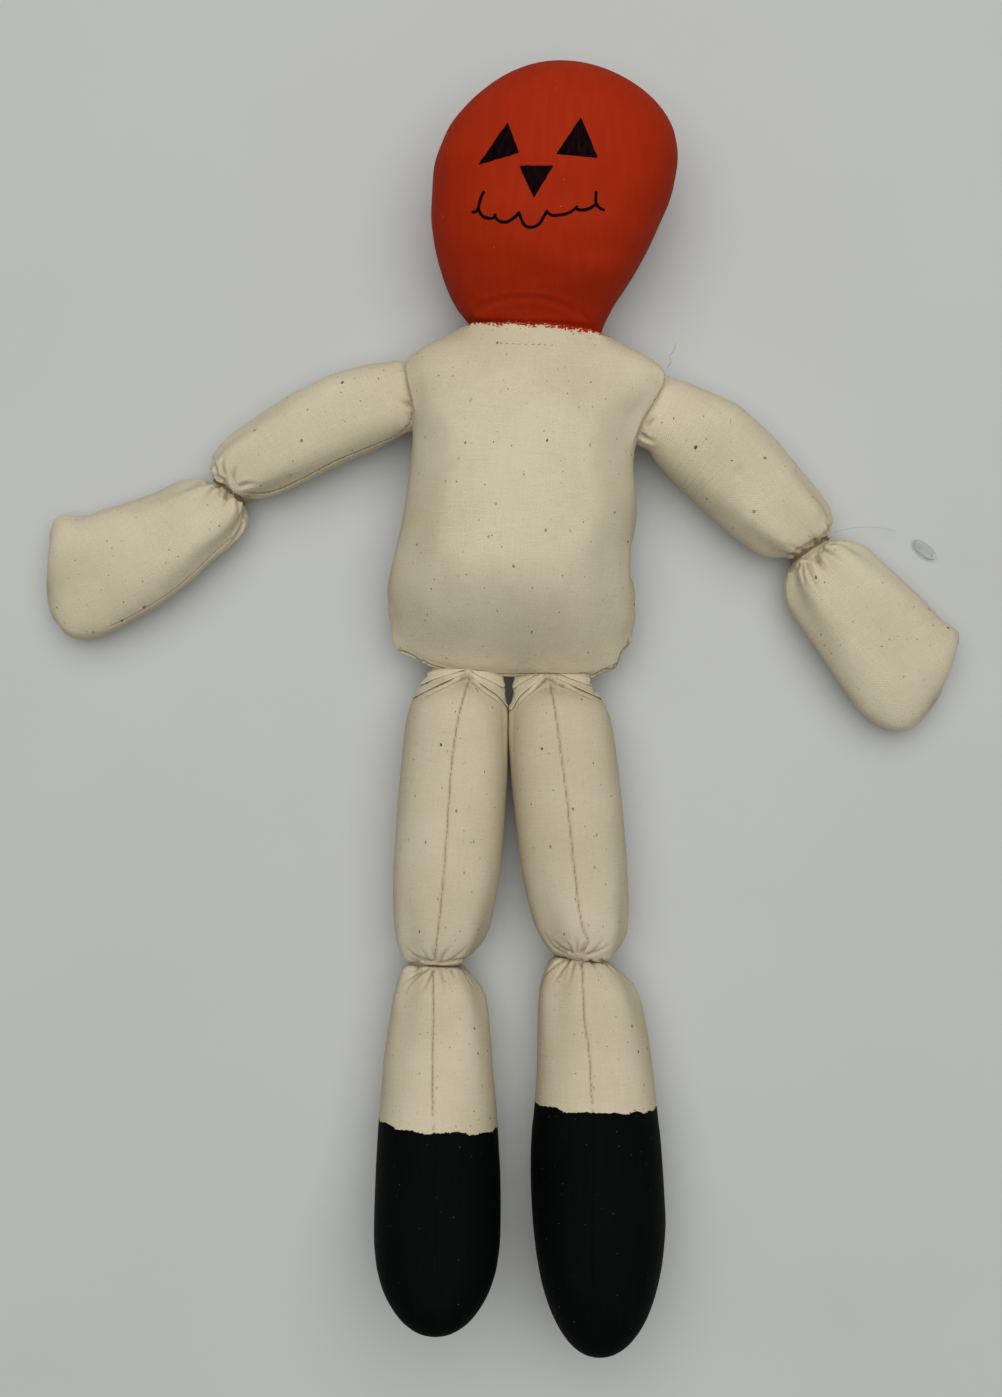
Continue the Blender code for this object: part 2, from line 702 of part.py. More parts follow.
def draw_face(mesh):
    """Cut the face's shapes into the front of the head as fields of ink."""
    bmesh.ops.recalc_face_normals(mesh, faces=mesh.faces[:])
    mesh.normal_update()
    up = compass(HEAD_HEADING)
    right = compass(HEAD_HEADING - 90.0)
    nose = head_place(FACE_RISE) + right * FACE_SHIFT

    def place(point):
        return nose + right * (point[0] * FACE_UNIT) + up * (point[1] * FACE_UNIT)

    for corners in (EYE_ON_DOLLS_RIGHT, EYE_ON_DOLLS_LEFT, NOSE):
        ink_field(mesh, [place(c) for c in corners])
    for stroke in MOUTH_STROKES:
        for start, end in zip(stroke, stroke[1:]):
            first, last = place(start), place(end)
            run = (last - first).normalized()
            half = Vector((-run.y, run.x, 0.0)) * MARKER_WIDTH / 2
            reach = run * MARKER_WIDTH / 3
            ink_field(mesh, [
                first - reach - half, last + reach - half, last + reach + half, first - reach + half
            ])


def ink_field(mesh, corners):
    """Cut a convex outline straight down into the front faces and ink what lies inside it."""
    middle = sum(corners, Vector()) / len(corners)
    reach = max((c - middle).length for c in corners)
    edges = []
    for start, end in zip(corners, corners[1:] + corners[:1]):
        run = (end - start).normalized()
        outward = Vector((run.y, -run.x, 0.0))
        if (start - middle).dot(outward) < 0.0:
            outward = -outward
        edges.append((start, outward))
    for start, outward in edges:
        near = [
            f for f in mesh.faces
            if f.normal.z > 0.0 and touches(f, middle, reach) and f.calc_center_median().z > reach
        ]
        geometry = set(near)
        for face in near:
            geometry.update(face.edges)
            geometry.update(face.verts)
        bmesh.ops.bisect_plane(
            mesh, geom=list(geometry), dist=1e-6, plane_co=start, plane_no=outward
        )
        mesh.normal_update()
    for face in mesh.faces:
        centre = face.calc_center_median()
        if face.normal.z > 0.0 and all((centre - s).dot(n) < 0.0 for s, n in edges):
            face.material_index = 1


def touches(face, middle, reach):
    """Whether a face comes near a circle in plan."""
    centre = face.calc_center_bounds()
    size = max((v.co - centre).length for v in face.verts)
    return (Vector((centre.x, centre.y, 0.0)) - middle).length < reach + size


@dataclass
class Limb:
    """An arm or a leg: one cloth tube, pinched by a wrap of thread into two lobes.

    root is the point in plan where its middle line meets the torso's seam, and start is how
    far along that line its first ring lies. boot_edge is where a leg's paint begins.
    """

    name: str
    around: int
    root: Vector
    first: Lobe
    wrap: Wrap
    second: Lobe
    start: float
    first_step: float
    boot_edge: float = None

    def joint(self):
        """Point in plan under the wrap of thread."""
        return self.root + compass(self.first.heading) * self.first.length

    def centre(self, lobe, side, from_wrap):
        """Point in plan on a lobe's middle line, which leaves the wrap square to the thread."""
        ahead = compass(lobe.heading)
        start = compass(self.wrap.heading) * WRAP_HALF_LENGTH * side
        stray = (start - ahead * WRAP_HALF_LENGTH * side) * (1.0 - ease(from_wrap / TURN_REACH))
        return self.joint() + ahead * side * (from_wrap + WRAP_HALF_LENGTH) + stray

    def heading(self, lobe, from_wrap, to_end):
        """Heading that a ring faces: turned at the wrap and at the lobe's blunt end."""
        turn = ease(from_wrap / TURN_REACH)
        heading = self.wrap.heading + (lobe.heading - self.wrap.heading) * turn
        if lobe.end_heading is not None:
            turn = ease(1.0 - to_end / (lobe.length * HAND_TURN_SHARE))
            heading += (lobe.end_heading - heading) * turn
        return heading

    def pleat(self, from_wrap):
        """Gathers that fan out from the wrap, as a factor on the ring at each angle."""
        fade = math.exp(-from_wrap / PLEAT_REACH) * min(from_wrap / PLEAT_RISE, 1.0)
        count = self.around // POINTS_PER_PLEAT

        def factor(angle):
            wave = 0.5 - 0.5 * math.cos(count * angle)
            sway = 0.5 - 0.5 * math.sin(3.0 * angle + 1.0)
            return 1.0 - PLEAT_DEPTH * fade * wave * (1.0 - PLEAT_UNEVENNESS * sway)

        return factor

    def hip_fold(self, distance):
        """Box pleats that run from the middle of the hem out to the sides of the thigh."""

        def fold(across, height, ring):
            middle = (ring.left - ring.right) / 2
            side = abs(across - middle) / ((ring.left + ring.right) / 2)
            under = ease((side - distance / HIP_FOLD_LENGTH) / HIP_FOLD_SOFTNESS + 0.5)
            edge = ease((1.0 - side) / HIP_FOLD_MARGIN)
            upper = ease((height - (ring.front + ring.back) / 2) / (ring.front / 3))
            return 0.0, HIP_FOLD_DEPTH * under * edge * upper

        return fold

    def build(self, materials):
        """Loft both lobes and the neck between them."""
        skin = Skin(self.name, self.around)
        neck = self.first.length - WRAP_HALF_LENGTH
        places = graded(self.start, neck, self.first_step, STEP_AT_WRAP)
        is_leg = self.boot_edge is not None
        for distance in places:
            from_wrap = neck - distance
            profile = lobe_profile(self.first, distance)
            profile.towards(self.wrap, self.wrap.growth(from_wrap))
            shift = self.hip_fold(distance) if is_leg and distance < HIP_FOLD_LENGTH else None
            heading = self.heading(self.first, from_wrap, math.inf)
            centre = self.centre(self.first, -1, from_wrap)
            skin.add_ring(centre, heading, profile, self.pleat(from_wrap), shift)
            if distance == places[0]:
                skin.close()
        places = graded(WRAP_HALF_LENGTH, self.second.length, STEP_AT_WRAP, STEP_AT_TIP)
        for distance in places[:-1]:
            from_wrap = distance - WRAP_HALF_LENGTH
            to_end = self.second.length - distance
            profile = lobe_profile(self.second, distance)
            profile.towards(self.wrap, self.wrap.growth(from_wrap))
            into_end = max(1.0 - to_end / self.second.end_reach, 0.0)
            profile.shrink(round_end(into_end), self.second.end_bluntness)
            heading = self.heading(self.second, from_wrap, to_end)
            centre = self.centre(self.second, 1, from_wrap)
            skin.add_ring(centre, heading, profile, self.pleat(from_wrap))
        down = compass(self.second.heading)
        end = self.joint() + down * self.second.length
        skin.close_to_pole(end, self.second.heading, middle_height(self.second))
        if is_leg:
            skin.colour_beyond(self.joint() + down * self.boot_edge, self.second.heading, 1)
        return skin.finish(materials)

    def build_wrap(self, name, thread):
        """The turns of thread round the neck, seated just off the cloth."""
        mesh = bmesh.new()
        inner = self.wrap.half_width + SEAM_GAP
        pitch = 2.0 * THREAD_RADIUS
        outline = []
        for turn in range(THREAD_TURNS):
            middle = (turn - (THREAD_TURNS - 1) / 2) * pitch
            for step in range(THREAD_SIDES):
                angle = math.pi * (step + 0.5) / THREAD_SIDES
                along = middle - THREAD_RADIUS * math.cos(angle)
                out = THREAD_RADIUS * (1.0 + math.sin(angle))
                outline.append(Vector((inner + out, along, 0.0)))
        half = THREAD_TURNS * THREAD_RADIUS * THREAD_BED
        outline.append(Vector((inner, half, 0.0)))
        outline.append(Vector((inner, -half, 0.0)))
        points = [mesh.verts.new(p) for p in outline]
        edges = [mesh.edges.new(pair) for pair in zip(points, points[1:] + points[:1])]
        bmesh.ops.spin(
            mesh, geom=points + edges, cent=(0, 0, 0), axis=(0, 1, 0), dvec=(0, 0, 0),
            angle=math.tau, steps=WRAP_STEPS, use_merge=True, use_duplicate=False,
        )
        bmesh.ops.remove_doubles(mesh, verts=mesh.verts[:], dist=0.01 * MM)
        flatten = (self.wrap.half_height + SEAM_GAP) / inner
        bmesh.ops.scale(mesh, vec=(1.0, 1.0, flatten), verts=mesh.verts[:])
        turn = Matrix.Rotation(math.radians(self.wrap.heading - 90.0), 4, "Z")
        bmesh.ops.transform(mesh, matrix=turn, verts=mesh.verts[:])
        centre = self.joint() + Vector((0.0, 0.0, self.wrap.height))
        bmesh.ops.translate(mesh, vec=centre, verts=mesh.verts[:])
        bmesh.ops.recalc_face_normals(mesh, faces=mesh.faces[:])
        return make_object(name, mesh, [thread])


def build_tag_fastener(elbow, wrap, plastic):
    """Clear moulded pin left by a price tag: a thin filament that ends in a flat paddle."""
    out = compass(wrap.heading + 90.0)
    clear = wrap.half_width + 2.0 * SEAM_GAP + 2.0 * THREAD_RADIUS + FILAMENT_RADIUS
    start = elbow + out * clear + Vector((0.0, 0.0, wrap.height))
    paddle_ahead = compass(PADDLE_HEADING)
    middle_height = PADDLE_HEIGHT + PADDLE_THICKNESS / 2
    paddle = elbow + Vector((PADDLE_ACROSS, PADDLE_UP, middle_height))
    tip = paddle - paddle_ahead * (PADDLE_LENGTH / 2 - FILAMENT_RADIUS * 2)
    route = interpolate_bezier(
        start, start + out * FILAMENT_ROOT_PULL, tip - paddle_ahead * FILAMENT_PADDLE_PULL, tip,
        FILAMENT_STEPS,
    )
    filament = bmesh.new()
    ring = bmesh.ops.create_circle(
        filament, cap_ends=True, segments=FILAMENT_SIDES, radius=FILAMENT_RADIUS
    )["verts"]
    for i, place in enumerate(route):
        ahead = (route[min(i + 1, len(route) - 1)] - route[max(i - 1, 0)]).normalized()
        facing = ahead.to_track_quat("Z", "Y").to_matrix().to_4x4()
        if i:
            edges = [filament.edges.get(pair) for pair in zip(ring, ring[1:] + ring[:1])]
            drawn = bmesh.ops.extrude_edge_only(filament, edges=edges)["geom"]
            fresh = {v for v in drawn if isinstance(v, bmesh.types.BMVert)}
            ring = [
                next(e.other_vert(v) for e in v.link_edges if e.other_vert(v) in fresh)
                for v in ring
            ]
        for j, vertex in enumerate(ring):
            angle = math.tau * j / len(ring)
            spoke = Vector((math.cos(angle), math.sin(angle), 0.0)) * FILAMENT_RADIUS
            vertex.co = place + facing @ spoke
    bmesh.ops.contextual_create(filament, geom=ring)
    bmesh.ops.recalc_face_normals(filament, faces=filament.faces[:])
    disc = bmesh.new()
    bmesh.ops.create_circle(disc, cap_ends=True, segments=PADDLE_SIDES, radius=1.0)
    made = bmesh.ops.extrude_face_region(disc, geom=disc.faces[:])["geom"]
    risen = [v for v in made if isinstance(v, bmesh.types.BMVert)]
    bmesh.ops.translate(disc, vec=(0, 0, 1.0), verts=risen)
    bmesh.ops.translate(disc, vec=(0, 0, -0.5), verts=disc.verts[:])
    size = (PADDLE_LENGTH / 2, PADDLE_WIDTH / 2, PADDLE_THICKNESS)
    bmesh.ops.scale(disc, vec=size, verts=disc.verts[:])
    turn = Matrix.Rotation(math.radians(PADDLE_HEADING), 4, "Z")
    bmesh.ops.transform(disc, matrix=turn, verts=disc.verts[:])
    bmesh.ops.translate(disc, vec=paddle, verts=disc.verts[:])
    bmesh.ops.recalc_face_normals(disc, faces=disc.faces[:])
    fastener = make_object("tag_fastener", filament, [plastic])
    guide = make_object("paddle_guide", disc, [plastic])
    guide.hide_render = True
    guide.display_type = "WIRE"
    join = fastener.modifiers.new("paddle", "BOOLEAN")
    join.operation = "UNION"
    join.solver = "EXACT"
    join.object = guide
    return fastener


def build_limbs(torso, calico, boot_black, thread, plastic):
    """Both arms and legs, trimmed to the torso's surface, with their wraps."""
    arms = (
        ("arm_right", "elbow_wrap_right", -1, ARMHOLE_DROP_RIGHT,
         RIGHT_UPPER_ARM, RIGHT_ELBOW, RIGHT_FOREARM),
        ("arm_left", "elbow_wrap_left", 1, ARMHOLE_DROP_LEFT,
         LEFT_UPPER_ARM, LEFT_ELBOW, LEFT_FOREARM),
    )
    for name, wrap_name, side, drop, upper, wrap, lower in arms:
        root = torso_side(drop, side)
        limb = Limb(
            name, ARM_AROUND, root, upper, wrap, lower, -OVERLAP_INTO_TORSO, STEP_AT_ARMHOLE
        )
        trim_against(limb.build([calico]), torso)
        limb.build_wrap(wrap_name, thread)
        if side > 0:
            build_tag_fastener(limb.joint(), wrap, plastic)
    legs = (
        ("leg_right", "knee_wrap_right", -1, RIGHT_THIGH, RIGHT_KNEE, RIGHT_SHIN, BOOT_EDGE_RIGHT),
        ("leg_left", "knee_wrap_left", 1, LEFT_THIGH, LEFT_KNEE, LEFT_SHIN, BOOT_EDGE_LEFT),
    )
    for name, wrap_name, side, thigh, wrap, shin, boot_edge in legs:
        root = torso_place(TORSO_LENGTH)
        root = root + compass(TORSO_HEADING + 90.0) * (HIP_SHIFT + side * HIP_SPREAD / 2)
        limb = Limb(
            name, LEG_AROUND, root, thigh, wrap, shin, -HEM_TUCK, STEP_AT_HIP, boot_edge
        )
        trim_against(limb.build([calico, boot_black]), torso)
        limb.build_wrap(wrap_name, thread)


def main():
    """Build the doll."""
    clear_scene()
    calico = paint("unbleached_calico", "d3c9ae", 0.9)
    orange = paint("orange_paint", "a52a0e", 0.6)
    boot_black = paint("black_paint", "0d1112", 0.7)
    ink = paint("marker_ink", "211111", 0.6)
    thread = paint("cotton_thread", "c9bd9e", 0.85)
    plastic = paint("clear_plastic", "dfe2e2", 0.2)
    torso = build_torso(calico)
    build_head(orange, ink)
    build_limbs(torso, calico, boot_black, thread, plastic)


main()
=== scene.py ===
"""Looks of a stuffed calico doll with a painted pumpkin face, lying on its back on a table.

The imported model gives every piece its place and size, in metres, with +Z up off the table
and +Y towards the doll's head. Each skin of cloth is made again as a fine mesh round the
packed form: remeshed, swelled by a short cloth simulation, then creased, seamed and gathered
where the real cloth is. Places that were read off the photograph are pixels of its
1002 by 1397 frame, and each is dropped down the camera's line of sight onto the cloth.
"""

from __future__ import annotations

import json
import logging
import math
import random
from dataclasses import dataclass, field
from enum import Enum
from typing import Sequence

import bmesh
import bpy
import numpy as np
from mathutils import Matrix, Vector, noise
from mathutils.bvhtree import BVHTree

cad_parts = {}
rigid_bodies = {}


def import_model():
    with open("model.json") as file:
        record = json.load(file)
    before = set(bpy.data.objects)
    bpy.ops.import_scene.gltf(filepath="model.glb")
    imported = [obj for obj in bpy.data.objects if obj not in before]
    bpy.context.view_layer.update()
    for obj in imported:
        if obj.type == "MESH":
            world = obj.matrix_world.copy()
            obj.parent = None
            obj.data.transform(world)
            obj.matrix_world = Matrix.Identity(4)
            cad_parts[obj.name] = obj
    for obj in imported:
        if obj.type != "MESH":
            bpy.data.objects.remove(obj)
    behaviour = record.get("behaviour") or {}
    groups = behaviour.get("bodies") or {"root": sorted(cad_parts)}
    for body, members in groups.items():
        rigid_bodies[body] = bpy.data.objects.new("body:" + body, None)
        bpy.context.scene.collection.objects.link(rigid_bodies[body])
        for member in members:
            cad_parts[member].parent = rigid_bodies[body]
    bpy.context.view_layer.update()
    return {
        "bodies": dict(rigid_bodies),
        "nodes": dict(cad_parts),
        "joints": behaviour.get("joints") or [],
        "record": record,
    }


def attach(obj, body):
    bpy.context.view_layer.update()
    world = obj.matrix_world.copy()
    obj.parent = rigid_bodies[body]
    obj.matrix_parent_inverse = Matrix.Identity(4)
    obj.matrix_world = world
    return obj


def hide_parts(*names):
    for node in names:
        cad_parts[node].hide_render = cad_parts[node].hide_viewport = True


LOG = logging.getLogger("doll")
MM = 0.001
BODY = "root"
NOISE_SEED = 7
PHOTO_SIZE = (1002, 1397)
Pixel = tuple[float, float]


class Slot(Enum):
    """The record's material slots."""

    CALICO = "calico_cloth"
    ORANGE = "orange_paint"
    INK = "marker_ink"
    THREAD = "cotton_thread"
    PLASTIC = "clear_plastic"


def linear(hex_colour: str) -> tuple[float, float, float, float]:
    """Turn an sRGB hex colour to linear.

    Args:
        hex_colour: Six hex digits.

    Returns:
        Linear red, green and blue, and an alpha of 1.
    """
    channels = [int(hex_colour[i:i + 2], 16) / 255 for i in (0, 2, 4)]
    red, green, blue = (
        c / 12.92 if c <= 0.04045 else ((c + 0.055) / 1.055) ** 2.4 for c in channels
    )
    return red, green, blue, 1.0


def ease(share: np.ndarray) -> np.ndarray:
    """Smooth step from 0 to 1 of an array of shares."""
    clipped = np.clip(share, 0.0, 1.0)
    return clipped * clipped * (3.0 - 2.0 * clipped)


def compass(heading: float) -> np.ndarray:
    """Unit vector in plan along a heading in degrees, anticlockwise from +X."""
    turn = math.radians(heading)
    return np.array((math.cos(turn), math.sin(turn), 0.0))


@dataclass(frozen=True)
class Viewpoint:
    """The camera over the doll: straight down, with the head at the top of the picture."""

    place: tuple[float, float, float] = (-3.9 * MM, -70.3 * MM, 750.0 * MM)
    view_height: float = 37.67
    sensor: float = 36.0

    def make(self) -> bpy.types.Object:
        """Create the scene's camera."""
        data = bpy.data.cameras.new("camera")
        data.sensor_fit = "AUTO"
        data.sensor_width = self.sensor
        data.lens = self.sensor / 2 / math.tan(math.radians(self.view_height) / 2)
        camera = bpy.data.objects.new("camera", data)
        camera.location = self.place
        bpy.context.scene.collection.objects.link(camera)
        bpy.context.scene.camera = camera
        return camera

    def sight(self, pixel: Sequence[float]) -> Vector:
        """Direction of the line of sight through a pixel, as a unit vector."""
        width, height = PHOTO_SIZE
        reach = math.tan(math.radians(self.view_height) / 2) / (height / 2)
        across = (pixel[0] - width / 2) * reach
        up = (height / 2 - pixel[1]) * reach
        return Vector((across, up, -1.0)).normalized()

    def level(self, pixel: Sequence[float], height: float) -> Vector:
        """Point that a pixel shows at a height over the table, in metres."""
        start, ahead = Vector(self.place), self.sight(pixel)
        return start + ahead * ((height - start.z) / ahead.z)

    def drop(self, pixel: Sequence[float], tree: BVHTree) -> Vector:
        """Point of a surface that a pixel shows.

        Args:
            pixel: Place in the photograph's frame.
            tree: The surface.

        Returns:
            The point on the surface, or the nearest one where the line of sight misses it.
        """
        hit = tree.ray_cast(Vector(self.place), self.sight(pixel))[0]
        if hit is None:
            hit = tree.find_nearest(self.level(pixel, 20.0 * MM))[0]
        return hit


VIEW = Viewpoint()


class Finish:
    """A material's node tree, with one way to add a node."""

    def __init__(self, name: str) -> None:
        """Start a material with a Principled surface."""
        self.material = bpy.data.materials.new(name)
        self.material.use_nodes = True
        self.tree = self.material.node_tree
        self.surface = self.tree.nodes["Principled BSDF"]
        self.object_place = self.add("TexCoord", out="Object")

    def feed(self, socket: bpy.types.NodeSocket, value: object) -> None:
        """Link a socket to another node's, or set it, with a string as a hex colour."""
        if isinstance(value, bpy.types.NodeSocket):
            self.tree.links.new(value, socket)
        else:
            socket.default_value = linear(value) if isinstance(value, str) else value

    def add(
        self, kind: str, *values: object, at: dict | None = None, out: object = 0, **settings: object
    ) -> bpy.types.NodeSocket:
        """Add a node with its settings and links.

        Args:
            kind: The node's type without its prefix, such as TexNoise.
            values: What the node's first inputs take, in their order.
            at: What its other inputs take, by name or number.
            out: The name or number of the output to give back.
            settings: Values of the node's own properties.

        Returns:
            The output socket.
        """
        node = self.tree.nodes.new("ShaderNode" + kind)
        for name, value in settings.items():
            setattr(node, name, value)
        for name, value in {**dict(enumerate(values)), **(at or {})}.items():
            self.feed(node.inputs[name], value)
        return node.outputs[out]

    def set(self, **inputs: object) -> bpy.types.Material:
        """Set or link inputs of the surface, with underscores for spaces, and end the material."""
        for name, value in inputs.items():
            self.feed(self.surface.inputs[name.replace("_", " ")], value)
        return self.material


@dataclass(frozen=True)
class Weave:
    """Plain weave of cotton, drawn on a skin's own UV map, which is in units of 100 mm.

    Real calico has about 24 threads a centimetre. That is finer than the render shows, so the
    threads are drawn at twice their spacing. Slubs, the thick places in them, are true to size.
    """

    thread: float = 0.85
    wander: float = 0.35
    relief: float = 0.06 * MM
    slub_length: float = 9.0
    slub_width: float = 0.7
    map_unit: float = 100.0

    def draw(self, finish: Finish) -> tuple[bpy.types.NodeSocket, bpy.types.NodeSocket]:
        """Draw the crossing threads.

        Args:
            finish: The material to add nodes to.

        Returns:
            The weave's height, from -1 to 1, and the slubs' strength, round a middle of 0.5.
        """
        grain = finish.add("TexCoord", out="UV")
        drift = finish.add("TexNoise", at={"Vector": grain, "Scale": 45.0, "Detail": 1.0}, out=1)
        shift = finish.add(
            "VectorMath", drift, (self.wander / self.map_unit,) * 3, operation="MULTIPLY"
        )
        place = finish.add("VectorMath", grain, shift, operation="ADD")
        waves = []
        for side in ("X", "Y"):
            along = finish.add("SeparateXYZ", place, out=side)
            turns = finish.add(
                "Math", along, math.tau * self.map_unit / self.thread, operation="MULTIPLY"
            )
            waves.append(finish.add("Math", turns, operation="SINE"))
        height = finish.add("Math", *waves, operation="MULTIPLY")
        slubs = []
        for run in ((self.slub_width, self.slub_length), (self.slub_length, self.slub_width)):
            scale = (self.map_unit / run[0], self.map_unit / run[1], 1.0)
            drawn = finish.add("Mapping", grain, at={"Scale": scale})
            slubs.append(finish.add("TexNoise", at={"Vector": drawn, "Scale": 1.0, "Detail": 2.0}))
        both = finish.add("Math", *slubs, operation="ADD")
        return height, finish.add("Math", both, 0.5, operation="MULTIPLY")


@dataclass(frozen=True)
class Calico:
    """Unbleached calico: plain-weave cotton, matte, cream, with slubs and dark seed flecks.

    The crease attribute darkens the cloth where it is folded into a crack: dirt from handling together with
    painted shade.
    """

    name: str = "unbleached_calico"
    cloth: str = "d8ceb3"
    shade: str = "c4b99b"
    # Colour of the weave's hollows between the threads: painted shade.
    gap_shade: str = "a08c68"
    fleck: str = "5f4a33"
    # Colour of the crease darkening: dirt together with painted shade in the cracks.
    soil_and_shade: str = "7c6645"
    flecks: tuple[tuple[float, float, float], ...] = ((11.0, 0.66, 0.6), (4.5, 0.30, 0.5))
    weave: Weave = field(default_factory=Weave)

    def colour(self, finish: Finish) -> tuple[bpy.types.NodeSocket, bpy.types.NodeSocket]:
        """Colour of the bare cloth, and the weave's height."""
        height, slub = self.weave.draw(finish)
        blotch = finish.add("TexNoise", at={"Vector": finish.object_place, "Scale": 30.0, "Detail": 3.0})
        grain = finish.add("TexCoord", out="UV")
        lint = finish.add("TexNoise", at={"Vector": grain, "Scale": 210.0, "Detail": 3.0})
        tone = finish.add("Math", slub, 0.7, blotch, operation="MULTIPLY_ADD")
        tone = finish.add("Math", lint, 1.1, tone, operation="MULTIPLY_ADD")
        shaded = finish.add("MapRange", tone, 1.0, 1.8, interpolation_type="SMOOTHSTEP")
        base = finish.add(
            "Mix", at={0: shaded, 6: self.cloth, 7: self.shade}, out=2, data_type="RGBA"
        )
        # Darken the weave's low places towards the colour of its hollows: painted shade.
        dip_shade = finish.add("MapRange", height, 0.1, -1.0, 0.0, 0.16, interpolation_type="SMOOTHSTEP")
        woven = finish.add("Mix", at={0: dip_shade, 6: base, 7: self.gap_shade}, out=2, data_type="RGBA")
        specks = self.seed_flecks(finish)
        flecked = finish.add("Mix", at={0: specks, 6: woven, 7: self.fleck}, out=2, data_type="RGBA")
        # Darken the creases by the crease attribute: dirt and painted shade.
        crease = finish.add("Attribute", out="Fac", attribute_name="crease")
        soiled_and_shaded = finish.add("Mix", at={0: crease, 6: flecked, 7: self.soil_and_shade}, out=2, data_type="RGBA")
        return soiled_and_shaded, height

    def seed_flecks(self, finish: Finish) -> bpy.types.NodeSocket:
        """Strength of the bits of cotton seed: small uneven specks, one in some cells of a net."""
        grain = finish.add("TexCoord", out="UV")
        wobble = finish.add("TexNoise", at={"Vector": grain, "Scale": 140.0, "Detail": 1.0}, out=1)
        bent = finish.add("VectorMath", wobble, (0.009,) * 3, operation="MULTIPLY")
        place = finish.add("VectorMath", grain, bent, operation="ADD")
        strengths = []
        for spacing, size, kept in self.flecks:
            net = finish.add(
                "TexVoronoi", at={"Vector": place, "Scale": self.weave.map_unit / spacing}, out=0,
                voronoi_dimensions="2D",
            )
            cell = net.node.outputs["Color"]
            pick = [finish.add("SeparateColor", cell, out=channel) for channel in range(3)]
            radius = finish.add("Math", pick[1], size / spacing, operation="MULTIPLY")
            inside = finish.add("Math", net, radius, operation="LESS_THAN")
            chosen = finish.add("Math", pick[0], kept, operation="LESS_THAN")
            speck = finish.add("Math", inside, chosen, operation="MULTIPLY")
            depth = finish.add("Math", pick[2], 0.9, 0.1, operation="MULTIPLY_ADD")
            strengths.append(finish.add("Math", speck, depth, operation="MULTIPLY"))
        return finish.add("Math", *strengths, operation="MAXIMUM")

    def make(self) -> bpy.types.Material:
        """Build the material."""
        finish = Finish(self.name)
        colour, height = self.colour(finish)
        normal = finish.add(
            "Bump", at={"Strength": 0.8, "Distance": self.weave.relief, "Height": height}
        )
        finish.set(Base_Color=colour, Normal=normal)
        return finish.set(
            Roughness=0.92, Specular_IOR_Level=0.25, Sheen_Weight=0.1, Sheen_Roughness=0.5
        )


